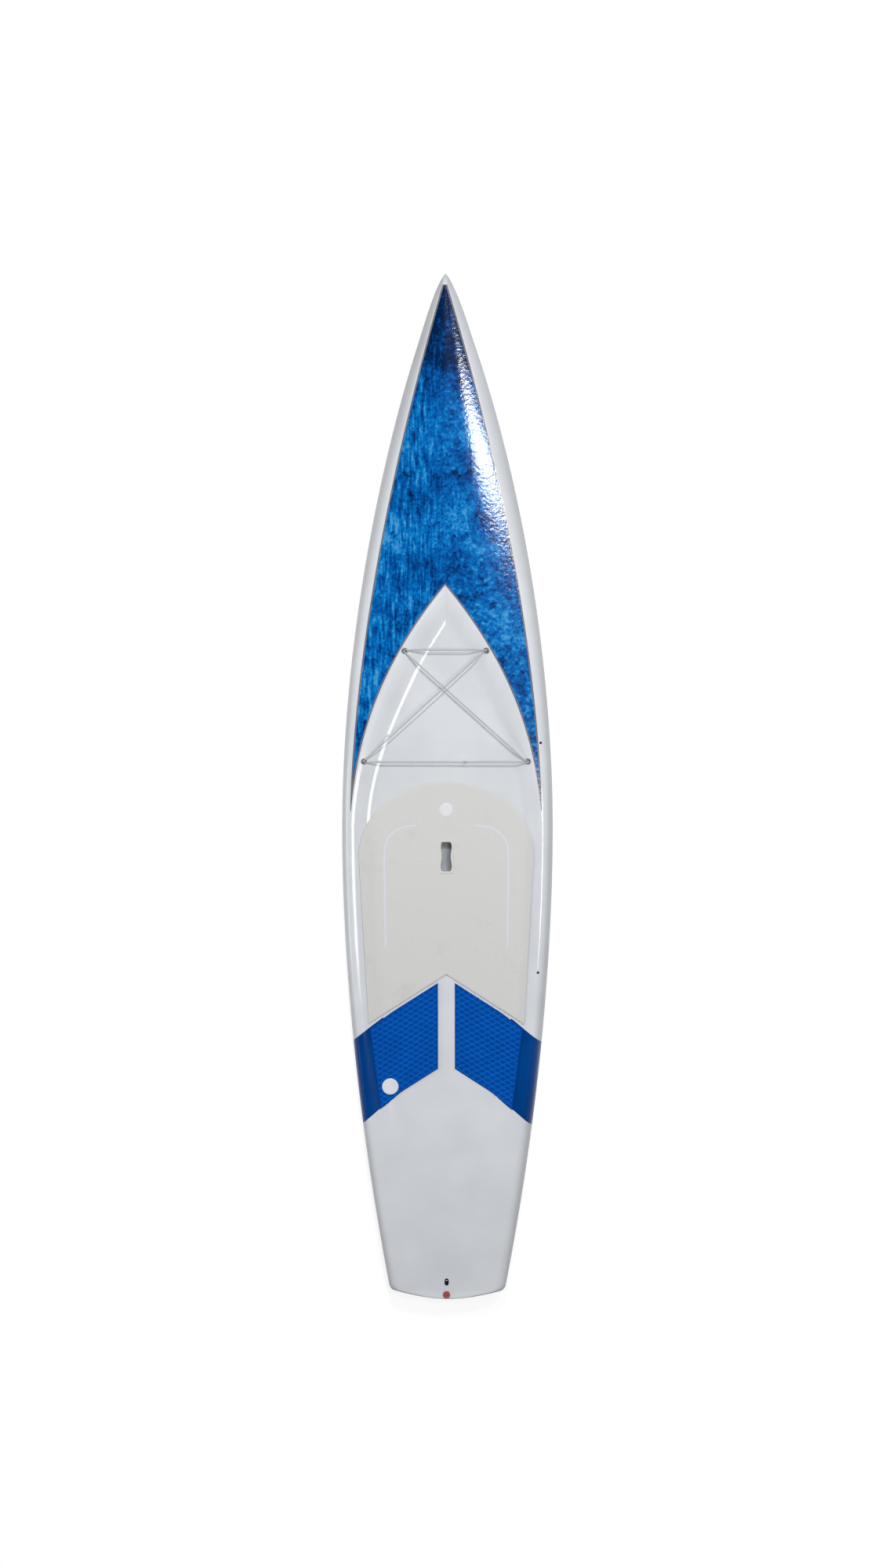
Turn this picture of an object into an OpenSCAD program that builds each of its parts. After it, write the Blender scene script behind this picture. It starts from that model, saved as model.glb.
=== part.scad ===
/* [Board] */
// Length from nose tip to tail edge
board_length = 3810; // [3500:10:4200]
// Width across the rails at the widest point
board_width = 787; // [720:1:860]
// Height of the rail shoulders above the flat bottom
rail_height = 150; // [140:1:170]
// Thickness of the laminate skins
skin = 3; // [2:0.1:4]
// Bond line between neighbouring pieces
bond = 0.3; // [0.2:0.05:0.5]
// Glue line between the skins and the core
core_glue = 0.7; // [0.6:0.05:1]

/* [Outline] */
// Widest point, from the nose
widest_from_nose = 2051; // [1900:1:2200]
// Fullness of the forward outline
nose_curve = 1.9; // [1.7:0.01:2.2]
// Sharpness of the forward outline at the tip
nose_point = 0.88; // [0.8:0.01:1]
// Extra half-width that rounds the nose tip
nose_roundness = 16; // [8:1:24]
// Length over which the tip is rounded
nose_round_length = 250; // [150:5:350]
// Width between the tail corners
tail_width = 430; // [380:1:480]
// Depth of the bowed tail edge
tail_bow = 35; // [25:1:45]
// Fullness of the bowed tail edge
tail_bow_curve = 1.7; // [1.5:0.05:2]
// Fullness of the rear outline
tail_curve = 1.88; // [1.7:0.01:2.1]
// Tightness of the tail corners
corner_tightness = 24; // [16:1:32]

/* [Profile] */
// Lift of the keel at the nose
nose_rocker = 120; // [90:1:150]
// Length of the nose lift
nose_rocker_length = 1405; // [1200:5:1500]
// Lift of the bottom at the tail
tail_rocker = 32; // [20:1:45]
// Length of the tail lift
tail_rocker_length = 1005; // [900:5:1100]
// Rise of the shoulders at the nose
nose_deck_rise = 55; // [40:1:70]
// Drop of the shoulders at the tail
tail_deck_drop = 43; // [35:1:50]
// Height of the widest line at mid length
rail_apex = 62; // [50:1:75]
// Loss of that height at the nose
nose_apex_drop = 14; // [5:1:20]
// Loss of that height at the tail
tail_apex_drop = 32; // [25:1:38]
// Deadrise slope of the bow
bow_deadrise = 0.3; // [0.2:0.01:0.4]
// Half-width over which the keel line is rounded
keel_round = 30; // [15:1:45]
// Width of the bottom rail rounding at mid length
bottom_round = 90; // [70:1:110]
// Width of the bottom rail rounding at the tail
tail_bottom_round = 35; // [25:1:45]
// Start of the sharper tail rails, from the tail
tail_round_from_tail = 953; // [860:1:1060]
// Length over which the tail rails grow sharper
tail_round_length = 900; // [800:5:1000]
// Length over which the deck rails grow rounder behind the nose
rail_round_length = 1700; // [1500:5:1900]
// Length of the rounded stem
stem_round = 40; // [30:1:50]
// Rounding of the tail edge
tail_edge_round = 6; // [4:0.5:8]

/* [Deck] */
// Width of the rail shoulder outside the deck line
shoulder = 37; // [32:1:45]
// Start of the deck line, from the nose
chine_from_nose = 16; // [10:1:30]
// Length of the forward deck line
chine_length = 2000; // [1880:1:2130]
// Fullness of the forward deck line
chine_curve = 1.68; // [1.5:0.01:1.8]
// Crown of the nose deck
nose_crown = 34; // [25:1:42]
// Half-width at which the crown is full
crown_half_width = 300; // [260:1:340]
// Point of the cockpit arch, from the nose
arch_from_nose = 1155; // [1095:1:1215]
// Length of the cockpit arch
arch_length = 1060; // [960:5:1160]
// Reach of the arch curve beyond the deck line
arch_over = 5; // [3:0.5:7]
// Fullness of the cockpit arch
arch_curve = 2.45; // [2.15:0.05:2.75]
// Depth of the dished deck
dish_depth = 28; // [20:0.5:34]
// Depth of the dish that is left at the tail
tail_dish_depth = 4; // [3:0.5:10]
// Width of the dish wall under the arch
arch_wall = 115; // [100:1:130]
// Width of the dish wall beside the deck pad
pad_wall = 75; // [65:1:90]
// Width of the dish wall at the tail
tail_wall = 150; // [130:1:170]
// Start of the narrowing of the dish wall, from the nose
pad_wall_from_nose = 1500; // [1450:5:1550]
// Length of the narrowing of the dish wall
pad_wall_length = 500; // [450:5:550]
// Start of the widening of the dish wall, from the tail
tail_wall_from_tail = 1210; // [1110:5:1310]
// Length of the widening of the dish wall
tail_wall_length = 1000; // [900:5:1100]
// Start of the rise of the dish to the tail, from the tail
dish_rise_from_tail = 1000; // [940:5:1060]
// Length of the rise of the dish to the tail
dish_rise_length = 985; // [900:5:1050]
// Front of the printed inlay, from the nose
inlay_from_nose = 60; // [50:1:80]
// Length of the inlay tails beside the arch
inlay_tail = 680; // [620:5:700]
// Margin from the inlay to the arch
inlay_arch_margin = 2; // [1:0.5:3]
// Margin from the inlay to the deck line
inlay_line_margin = 4; // [3:0.5:5]
// Thickness of the printed inlay
inlay_thick = 0.6; // [0.4:0.1:1]

/* [Pads] */
// Thickness of the foam pads
pad_thickness = 5; // [4:0.5:7]
// Glue line under the pads
pad_glue = 0.95; // [0.9:0.05:1.2]
// Front of the deck pad, from the nose
pad_from_nose = 1883; // [1850:1:1920]
// Length of the rounded front of the deck pad
pad_arc_length = 272; // [240:1:300]
// Margin from the rail to the widest part of the deck pad
pad_margin = 68; // [60:1:80]
// Half-width of the rear of the deck pad
pad_rear_half_width = 289; // [270:1:300]
// Point of the rear chevron, from the nose
chevron_from_nose = 2599; // [2580:1:2620]
// Slope of the chevron
chevron_slope = 0.636; // [0.5:0.002:0.7]
// Gap between the deck pad and the tail pads
pad_gap = 11; // [8:0.5:16]
// Half of the gap between the tail pads
tail_pad_inner = 31.5; // [25:0.5:40]
// Half-width of the front of the tail pads
tail_pad_front = 285; // [262:1:297]
// Half-width of the rear of the tail pads
tail_pad_rear = 246; // [238:1:258]
// Length of the tail pads
tail_pad_length = 319; // [290:1:335]
// Width of the swept outer part of the tail pads
tail_sweep_width = 90; // [70:1:110]
// Sweep of the front of the tail pads at the outer edge
tail_sweep_front = 9; // [5:0.5:12]
// Sweep of the rear of the tail pads at the outer edge
tail_sweep_rear = 14; // [8:0.5:18]
// Diameter of the deck pad disc
disc_diameter = 50; // [40:1:56]
// Deck pad disc, from the nose
disc_from_nose = 1986; // [1960:1:2010]
// Diameter of the tail pad disc
tail_disc_diameter = 60; // [50:1:66]
// Tail pad disc, left of the middle
tail_disc_left = 209; // [190:1:212]
// Tail pad disc, from the front of the tail pads
tail_disc_back = 273; // [260:1:280]
// Glue line under the discs
disc_glue = 0.5; // [0.4:0.05:0.8]
// Thickness of the discs
disc_thickness = 1.2; // [0.8:0.1:2]

/* [Handle] */
// Handle middle, from the nose
handle_from_nose = 2161; // [2140:1:2180]
// Length of the handle opening
handle_length = 110; // [100:1:116]
// Width of the opening at its ends
handle_width = 42; // [38:1:46]
// Width of the opening at its waist
handle_waist = 34; // [28:1:36]
// Rim around the opening
handle_rim = 7; // [5:0.5:9]
// Depth of the finger space
handle_depth = 44; // [38:1:48]
// Thickness of the grip lip
handle_lip = 12; // [9:0.5:14]
// Undercut for the fingers on each side
handle_undercut = 8; // [5:0.5:10]
// Wall of the handle cup
handle_wall = 3; // [2:0.5:4]
// Foam block wall around the cup
block_wall = 14; // [10:1:18]
// Cover of the cup beyond the ends of its rim
cup_cover = 2; // [1:0.5:3]
// Step of the cup's shoulder below the skin
cup_drop = 1; // [0.8:0.1:1.5]
// Bore and depth of the small hole in the grip lip
lip_hole = 5; // [4:0.5:6]

/* [Bungee] */
// Cord diameter
cord = 5; // [4:0.25:6]
// Front plugs, from the nose
front_plug_from_nose = 1397; // [1385:1:1410]
// Front plugs, in from the arch
front_plug_in = 18; // [15:0.5:24]
// Rear plugs, from the nose
rear_plug_from_nose = 1807; // [1795:1:1820]
// Rear plugs, in from the arch
rear_plug_in = 21.5; // [18:0.5:28]
// Plug flange diameter
plug_flange = 24; // [23:0.5:27]
// Plug flange thickness
plug_flange_thick = 1.6; // [1.2:0.1:2.2]
// Plug bore diameter
plug_bore = 17; // [16:0.25:18]
// Plug wall thickness
plug_wall = 2; // [1.5:0.1:2.5]
// Plug depth
plug_depth = 16; // [13:0.5:18]
// Diameter of the bar in each plug
plug_bar = 3.5; // [3:0.25:4]
// Clearance of the bars in their plugs
bar_clearance = 0.1; // [0.05:0.01:0.2]
// Side step between the two strands at a plug
strand_step = 6; // [5.8:0.1:7]
// Rise of the upper strand where the cords cross
cord_over = 4; // [3:0.5:6]
// Dip of the lower strand where the cords cross
cord_under = 2; // [1:0.5:3]
// Crimp sleeve length
crimp_length = 14; // [10:1:18]
// Crimp sleeve wall
crimp_wall = 1; // [0.8:0.1:1.6]
// Crimp sleeve, right of the middle
crimp_right = 72; // [50:1:100]

/* [Tail fittings] */
// Leash plug middle, from the tail
leash_from_tail = 67; // [62:1:75]
// Length of the leash plug
leash_length = 26; // [24:0.5:30]
// Width of the leash plug
leash_width = 15.5; // [14.5:0.5:18]
// Wall of the leash plug
leash_wall = 2.5; // [2:0.1:3]
// Depth of the leash plug
leash_depth = 22; // [18:1:26]
// Leash bar diameter
leash_bar = 4; // [3:0.25:5]
// Step of the leash bar towards the nose
leash_bar_forward = 4; // [2:0.5:5]
// Vent middle, from the tail
vent_from_tail = 20; // [19:0.5:23]
// Vent plug head diameter
vent_head = 26; // [24:0.5:28]
// Vent plug head thickness
vent_head_thick = 2.6; // [2:0.1:3.2]
// Length of the slot in the vent plug head
vent_slot_length = 10.4; // [8:0.1:12]
// Width of the slot in the vent plug head
vent_slot_width = 2; // [1.5:0.1:2.5]
// Depth of the slot in the vent plug head
vent_slot_depth = 1.2; // [0.8:0.1:1.5]
// Diameter of the two key holes in the vent plug head
vent_key = 3; // [2:0.1:4]
// Key holes, out from the middle
vent_key_out = 8.6; // [8:0.1:9.4]
// Vent plug shank diameter
vent_shank = 12; // [10:0.5:13]
// Vent plug shank length
vent_shank_length = 9; // [7:0.5:11]
// Wall of the vent socket
vent_wall = 2.6; // [2:0.1:3]
// Space under the end of the vent shank
vent_space = 2; // [1.5:0.1:3]
// Radial clearance of the vent thread
vent_clearance = 0.3; // [0.25:0.05:0.45]
// Thickness of the seal ring
seal_ring = 1.8; // [1.5:0.1:2.2]
// Gap on each side of the seal ring
seal_gap = 0.3; // [0.2:0.05:0.4]
// Strap inserts, in from the nose: front
strap_front_from_nose = 1738; // [1725:1:1750]
// Strap inserts, in from the nose: rear
strap_rear_from_nose = 2589; // [2575:1:2600]
// Strap inserts, in from the rail
strap_in = 32; // [28:0.5:36]
// Strap insert outer diameter
strap_outer = 10; // [9:0.25:11]
// Strap insert bore
strap_bore = 6; // [5:0.25:6.5]
// Strap insert length
strap_length = 18; // [15:0.5:20]
// Side of the foam block around a strap insert
strap_block = 22; // [18:0.5:26]
// Depth of the foam block below the skin
strap_cover = 4; // [3:0.5:5]
// Thickness of the closed end of a strap insert
strap_floor = 2; // [1.5:0.1:3]

/* [Fin box] */
// Fin box middle, from the tail
fin_from_tail = 450; // [430:1:480]
// Length of the fin slot
fin_slot_length = 254; // [240:1:265]
// Width of the fin slot
fin_slot_width = 10; // [9.5:0.1:11]
// Depth of the fin slot
fin_slot_depth = 22; // [20:0.5:24]
// Width of the nut channel
fin_channel_width = 15; // [14:0.25:16]
// Height of the nut channel
fin_channel_height = 5; // [4.5:0.1:6]
// Depth of the lips over the nut channel
fin_lip_depth = 12; // [11:0.5:13]
// Wall of the fin box
fin_wall = 5; // [4:0.5:6]
// Step of the fin box in from the bottom
fin_seat = 1; // [0.6:0.1:1.4]
// Cover of the laminate around the fin box
fin_cover = 3; // [2:0.5:4]
// Foam block wall around the fin box
fin_block_wall = 12; // [10:0.5:14]
// Step of the nut plate forward of the box middle
fin_rest = 60; // [40:1:70]
// Nut plate length
fin_plate_length = 22; // [18:1:26]
// Nut plate thickness
fin_plate_thick = 3; // [2.5:0.1:3.5]
// Room around the nut plate in the entry of the box
fin_entry_room = 2.2; // [1.5:0.1:3]
// Clearance of the nut plate in its channel
fin_clearance = 0.4; // [0.3:0.05:0.6]
// Fin screw diameter
fin_screw_shank = 4; // [3:0.25:4.5]
// Fin screw head diameter
fin_screw_head = 8; // [7:0.25:8.5]
// Fin screw head height
fin_screw_head_height = 2.5; // [2:0.1:3]
// Fin screw length under the head
fin_screw_length = 14; // [13:0.5:15]
// Length of the fin screw past its plate
fin_screw_past = 2; // [1:0.1:3]
// Width of the cross in the fin screw head
fin_screw_slot = 1.2; // [0.8:0.1:1.5]
// Depth of the cross in the fin screw head
fin_screw_slot_depth = 1.3; // [1:0.1:1.5]
// Short arm of the cross in the fin screw head
fin_screw_arm = 4.8; // [4:0.1:5.5]
// Radial clearance of the screw in its plate
fin_screw_clearance = 0.3; // [0.25:0.05:0.45]

/* [Core] */
// Start of the foam core, from the nose
core_from_nose = 50; // [47:1:60]
// Thickness of the wooden stringer
stringer_thick = 6; // [4:0.5:8]
// Ends of the stringer, from the nose and the tail
stringer_from_ends = 60; // [50:1:80]

/* [Hidden] */
half_length = board_length / 2;
half_width = board_width / 2;
tail_half = tail_width / 2;
core_inset = skin + core_glue;
// Powers of the lengthwise curves
nose_rocker_power = 2.2;
tail_rocker_power = 2;
deck_rise_power = 2.5;
deck_drop_power = 2;
apex_power = 2;
deadrise_power = 1.2;
// Powers of the rail rounding: nose deck, mid deck, bottom
nose_rail_power = 1.25;
mid_rail_power = 2.2;
bottom_rail_power = 2;
// Least shares of the half-width inside the deck line and under the bottom rounding
line_share = 0.7;
bottom_share = 0.75;
// Share of an inset that the nose tip moves back
tip_share = 0.6;
// Power of the rounding of the nose tip
tip_power = 1.5;
// Power of the rounded corners of the handle, and the share of its half length
// over which the opening widens from its waist
corner_power = 6.5;
waist_run = 0.7;
// Power of the spacing of the rows under the arch
row_power = 1.4;
// Half of the length over which the lean of the fin box is taken
lean_span = 100;
// Sides of the bungee cord
cord_sides = 8;
// Overcut of the cuts that open a face
overcut = 20;
widest_y = half_length - widest_from_nose;
arch_y = half_length - arch_from_nose;
front_plug_y = half_length - front_plug_from_nose;
rear_plug_y = half_length - rear_plug_from_nose;
handle_y = half_length - handle_from_nose;
leash_y = leash_from_tail - half_length;
vent_y = vent_from_tail - half_length;
fin_y = fin_from_tail - half_length;
stringer_face = stringer_thick / 2 + bond;

function unit(v) = v / norm(v);
function share(v) = min(1, max(0, v));
function ease(v) = share(v) * share(v) * (3 - 2 * share(v));
function soft_min(a, b, n) = a * b / pow(pow(a, n) + pow(b, n), 1 / n);

// Plan outline: half-width of the board at y, moved inwards by inset.
function nose_half(y) =
    let (s = min(1, (y - widest_y) / (half_length - widest_y)))
    let (r = share((half_length - y) / nose_round_length))
    half_width * pow(1 - pow(s, nose_curve), nose_point) + nose_roundness * sqrt(r) * pow(1 - r, tip_power);
function rear_half(y) =
    let (t = (widest_y - y) / (widest_y + half_length - tail_bow))
    half_width - (half_width - tail_half) * pow(t, tail_curve);
function side_half(y) = y > widest_y ? nose_half(y) : rear_half(y);
function end_half(y, inset) =
    tail_half * pow(max(0, y + half_length - inset) / tail_bow, 1 / tail_bow_curve);
function outline(y, inset = 0) =
    max(0, soft_min(side_half(y), end_half(y, inset), corner_tightness) - inset);
function tail_edge(x, inset) =
    inset - half_length + tail_bow * pow(abs(x) / tail_half, tail_bow_curve);

// Deck line, where the deck turns over into the rail.
function nose_chine(y) =
    (half_width - shoulder)
    * (1 - pow(1 - share((half_length - y - chine_from_nose) / chine_length), chine_curve));
function chine(y, inset = 0) =
    let (w = outline(y, inset))
    min(nose_chine(y), max(line_share * w, w - shoulder + inset));
// Edge of the dished part of the deck: the arch, then the deck line.
function arch_half(y) =
    (half_width - shoulder + arch_over) * (1 - pow(1 - share((arch_y - y) / arch_length), arch_curve));
function dish_half(y, inset = 0) = min(arch_half(y), chine(y, inset));

// Heights along the board.
function keel(y) =
    nose_rocker * pow(share((y - half_length) / nose_rocker_length + 1), nose_rocker_power)
    + tail_rocker * pow(share((-half_length - y) / tail_rocker_length + 1), tail_rocker_power);
function apex(y) =
    keel(y) + rail_apex
    - (y > 0 ? nose_apex_drop : tail_apex_drop) * pow(abs(y) / half_length, apex_power);
function shoulder_top(y) =
    rail_height + (y > 0 ? nose_deck_rise * pow(y / half_length, deck_rise_power)
                         : -tail_deck_drop * pow(-y / half_length, deck_drop_power));
function crown(y, inset) = nose_crown * sin(90 * share(chine(y, inset) / crown_half_width));
function dome(x, y, inset) =
    let (b = chine(y, inset))
    b > 0 ? shoulder_top(y) + crown(y, inset) * (1 - pow(abs(x) / b, 2)) : shoulder_top(y);
function wall(y) =
    let (s = half_length - y)
    arch_wall
    + (pad_wall - arch_wall) * ease((s - pad_wall_from_nose) / pad_wall_length)
    + (tail_wall - pad_wall) * ease((tail_wall_from_tail - half_length - y) / tail_wall_length);
function dish(y) =
    dish_depth
    + (tail_dish_depth - dish_depth) * ease((dish_rise_from_tail - half_length - y) / dish_rise_length);
function deck_top(x, y, inset) =
    let (h = dish_half(y, inset))
    abs(x) < h ? dome(h, y, inset) - dish(y) * ease((h - abs(x)) / wall(y))
               : dome(min(abs(x), chine(y, inset)), y, inset);

// Rounded edge: 0 at the outline, 1 where the edge ends.
function edge(k, power) = pow(1 - pow(1 - share(k), power), 1 / power);
function nose_tip(inset) = half_length - tip_share * inset;
function rail_power(y) =
    nose_rail_power + (mid_rail_power - nose_rail_power) * ease((half_length - y) / rail_round_length);
function bottom_width(y, inset) =
    let (w = outline(y, inset))
    let (k = ease((tail_round_from_tail - half_length - y) / tail_round_length))
    min(bottom_round + (tail_bottom_round - bottom_round) * k, bottom_share * w);
function ends(x, y, inset, nose_round, tail_round) =
    min((nose_tip(inset) - y) / nose_round, (y - tail_edge(x, inset)) / tail_round);
function from_rail(x, y, inset, width) = width > 0 ? (outline(y, inset) - abs(x)) / width : 0;
function deck_z(x, y, inset = 0, seam = 0) =
    let (rail = from_rail(x, y, inset, outline(y, inset) - chine(y, inset)))
    let (low = apex(y) + seam)
    let (k = min(rail, ends(x, y, inset, stem_round, tail_edge_round)))
    low + (deck_top(x, y, inset) - inset - low) * edge(k, rail_power(y));
function flat_z(x, y) =
    keel(y)
    + bow_deadrise * pow(share((y - half_length) / nose_rocker_length + 1), deadrise_power)
      * (sqrt(x * x + keel_round * keel_round) - keel_round);
function bottom_z(x, y, inset = 0, seam = 0) =
    let (rail = from_rail(x, y, inset, bottom_width(y, inset)))
    let (high = apex(y) - seam)
    let (k = min(rail, ends(x, y, inset, stem_round, tail_edge_round)))
    high - (high - flat_z(x, y) - inset) * edge(k, bottom_rail_power);

// Stations from the nose to the tail, closer at the ends and under the arch.
// Length of the closer rows at the tail.
last_rows = 2 * tail_bow;
stations = concat(
    [for (i = [0:10]) arch_from_nose * (1 - cos(90 * i / 11))],
    [for (i = [0:9]) arch_from_nose + arch_length * pow(i / 10, row_power)],
    [for (i = [0:9]) arch_from_nose + arch_length
                     + (board_length - last_rows - arch_from_nose - arch_length) * i / 10],
    [for (i = [0:7]) board_length - last_rows * (1 - sin(90 * i / 7))]
);
function row_y(inset) =
    let (top = nose_tip(inset), low = inset - half_length)
    [for (s = stations) top - (top - low) * s / board_length];

// Columns of one row, from the middle to the right rail.
function deck_columns(y, inset, walls, panels, rails, start = 0) =
    let (b = chine(y, inset), w = outline(y, inset))
    let (first = min(start, b), h = max(first, dish_half(y, inset)))
    concat(
        [0, first],
        [for (k = [walls:-1:0]) max(first, h - wall(y) * k / walls)],
        [for (k = [1:panels]) h + (b - h) * k / panels],
        [for (k = [1:rails]) b + (w - b) * sin(90 * k / rails)]
    );
function bottom_columns(y, inset, flats, rails) =
    let (w = outline(y, inset), f = w - bottom_width(y, inset))
    concat(
        [for (k = [0:flats]) f * k / flats],
        [for (k = [1:rails]) f + (w - f) * sin(90 * k / rails)]
    );
function both_sides(half) = concat([for (k = [len(half) - 1:-1:1]) -half[k]], half);
function deck_rows(inset, seam, walls, panels, rails, start = 0) =
    [for (y = row_y(inset))
        [for (x = both_sides(deck_columns(y, inset, walls, panels, rails, start)))
            [x, y, deck_z(x, y, inset, seam)]]];
function bottom_rows(inset, seam, flats, rails) =
    [for (y = row_y(inset))
        [for (x = both_sides(bottom_columns(y, inset, flats, rails)))
            [x, y, bottom_z(x, y, inset, seam)]]];

// Triangles of a grid of points; a triangle with two equal points is left out.
function tri(p, q, r) = p == q || q == r || p == r ? [] : [[p, q, r]];
// The first columns, as many as mirrored, take the other diagonal, so that both halves are alike.
function under_skin(rows, mirrored = 0) =
    [for (i = [0:len(rows) - 2]) for (j = [0:len(rows[i]) - 2])
        let (a = rows[i][j], b = rows[i + 1][j], c = rows[i + 1][j + 1], d = rows[i][j + 1])
        each j < mirrored ? concat(tri(a, b, d), tri(d, b, c)) : concat(tri(a, b, c), tri(a, c, d))];
function turned(tris) = [for (t = tris) [t[2], t[1], t[0]]];
function top_skin(rows, mirrored = 0) = turned(under_skin(rows, mirrored));
function left_columns(rows) = (len(rows[0]) - 1) / 2;
function first_side(rows) = [for (r = rows) r[0]];
function last_side(rows) = [for (r = rows) r[len(r) - 1]];
module closed_solid(tris) {
    polyhedron(
        points = [for (t = tris) each t],
        faces = [for (i = [0:len(tris) - 1]) [3 * i, 3 * i + 1, 3 * i + 2]],
        convexity = 8
    );
}

// A slab that follows the deck over a grid of plan points.
function slab(plan, low, high, mirrored = 0) =
    let (top = [for (r = plan) [for (p = r) [p.x, p.y, deck_z(p.x, p.y) + high]]])
    let (base = [for (r = plan) [for (p = r) [p.x, p.y, deck_z(p.x, p.y) + low]]])
    concat(
        top_skin(top, mirrored),
        under_skin(base, mirrored),
        under_skin([last_side(top), last_side(base)]),
        turned(under_skin([first_side(top), first_side(base)])),
        under_skin([top[0], base[0]]),
        turned(under_skin([top[len(top) - 1], base[len(base) - 1]]))
    );

// Local frame on the deck: first axis along lead, third axis out of the deck.
function deck_normal(x, y) =
    unit([deck_z(x - 1, y) - deck_z(x + 1, y), deck_z(x, y - 1) - deck_z(x, y + 1), 2]);
function deck_lead(x, y, lead) = let (n = deck_normal(x, y)) unit(lead - (lead * n) * n);
module on_deck(x, y, lead) {
    n = deck_normal(x, y);
    u = deck_lead(x, y, lead);
    v = cross(n, u);
    multmatrix([
        [u.x, v.x, n.x, x],
        [u.y, v.y, n.y, y],
        [u.z, v.z, n.z, deck_z(x, y)],
        [0, 0, 0, 1]
    ]) children();
}

// Plan shapes.
module waisted(end_half, waist_half, half_len) {
    side = [for (a = [-90:6:90])
        let (k = abs(sin(a)))
        let (w = waist_half + (end_half - waist_half) * ease(k / waist_run))
        [w * pow(1 - pow(k, corner_power), 1 / corner_power), half_len * sin(a)]];
    polygon(concat(side, [for (i = [len(side) - 2:-1:1]) [-side[i].x, side[i].y]]));
}
module stadium(long, wide) {
    r = wide / 2;
    polygon(concat(
        [for (a = [0:15:180]) [r * cos(a), long / 2 - r + r * sin(a)]],
        [for (a = [180:15:360]) [r * cos(a), r - long / 2 + r * sin(a)]]
    ));
}

// Handle.
handle_top = deck_z(0, handle_y) + pad_glue + pad_thickness;
handle_floor = handle_top - handle_depth;
cup_half = handle_width / 2 + handle_undercut + handle_wall;
cup_half_length = handle_length / 2 + handle_rim + cup_cover;
cup_bottom = handle_floor - handle_wall;
cup_shoulder = deck_z(0, handle_y) - core_inset - cup_drop;
module handle_neck(extra) {
    waisted(handle_width / 2 + handle_rim + extra, handle_waist / 2 + handle_rim + extra,
            handle_length / 2 + handle_rim + extra);
}
module at_handle(z) translate([0, handle_y, z]) children();
module block_shape(extra) {
    half_x = cup_half + block_wall + extra;
    half_y = cup_half_length + block_wall + extra;
    low = cup_bottom - block_wall - extra;
    translate([-half_x, handle_y - half_y, low]) cube([2 * half_x, 2 * half_y, handle_top + overcut - low]);
}

// Fin box frame: on the bottom, leaning with the tail lift.
fin_lean = atan((bottom_z(0, fin_y + lean_span) - bottom_z(0, fin_y - lean_span)) / (2 * lean_span));
fin_box_length = fin_slot_length + 2 * fin_wall;
fin_box_width = fin_channel_width + 2 * fin_wall;
fin_box_depth = fin_slot_depth + fin_wall;
module at_fin() translate([0, fin_y, bottom_z(0, fin_y) + fin_seat]) rotate([fin_lean, 0, 0]) children();
module fin_box_hole(extra) {
    at_fin() translate([0, 0, -overcut]) linear_extrude(3 * overcut)
        stadium(fin_box_length + 2 * extra, fin_box_width + 2 * extra);
}
module fin_block_shape(extra) {
    half_x = fin_box_width / 2 + fin_block_wall + extra;
    half_y = fin_box_length / 2 + fin_block_wall + extra;
    high = fin_box_depth + fin_block_wall + extra;
    at_fin() translate([-half_x, -half_y, -overcut]) cube([2 * half_x, 2 * half_y, overcut + high]);
}

// Tail fittings.
leash_top = deck_z(0, leash_y);
// Highest deck under the front, middle and rear of the vent head.
vent_top = max([for (step = [-1:1]) deck_z(0, vent_y + step * vent_head / 2)]);
vent_bore = vent_shank / 2 + vent_clearance;
vent_outer = vent_bore + vent_wall;
vent_depth = vent_shank_length + vent_wall + vent_space;
module leash_hole(extra, depth) {
    translate([0, leash_y, leash_top - depth]) linear_extrude(depth + overcut)
        stadium(leash_length + 2 * extra, leash_width + 2 * extra);
}
module vent_hole(extra, depth) {
    translate([0, vent_y, vent_top - depth])
        cylinder(r = vent_outer + extra, h = depth + overcut, $fn = 48);
}

// Bungee plugs and strap inserts.
front_plug_out = dish_half(front_plug_y) - front_plug_in;
rear_plug_out = dish_half(rear_plug_y) - rear_plug_in;
plugs = [
    [-front_plug_out, front_plug_y],
    [front_plug_out, front_plug_y],
    [-rear_plug_out, rear_plug_y],
    [rear_plug_out, rear_plug_y]
];
plug_body = plug_bore / 2 + plug_wall;
bar_drop = plug_bar / 2 + bar_clearance;
module plug_hole(i, extra) {
    on_deck(plugs[i].x, plugs[i].y, [-sign(plugs[i].x), 0, 0]) translate([0, 0, -plug_depth - extra])
        cylinder(r = plug_body + extra, h = plug_depth + overcut, $fn = 48);
}
straps = [
    [outline(half_length - strap_front_from_nose) - strap_in, half_length - strap_front_from_nose],
    [outline(half_length - strap_rear_from_nose) - strap_in, half_length - strap_rear_from_nose]
];
module at_strap(i) on_deck(straps[i].x, straps[i].y, [1, 0, 0]) children();
module strap_hole(i, r) {
    low = strap_length + bond;
    at_strap(i) translate([0, 0, -low]) cylinder(r = r, h = low + overcut, $fn = 48);
}
module strap_pocket(i, extra, high) {
    side = strap_block + 2 * extra;
    low = strap_length + extra;
    at_strap(i) translate([-side / 2, -side / 2, -low]) cube([side, side, low + high]);
}

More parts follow.
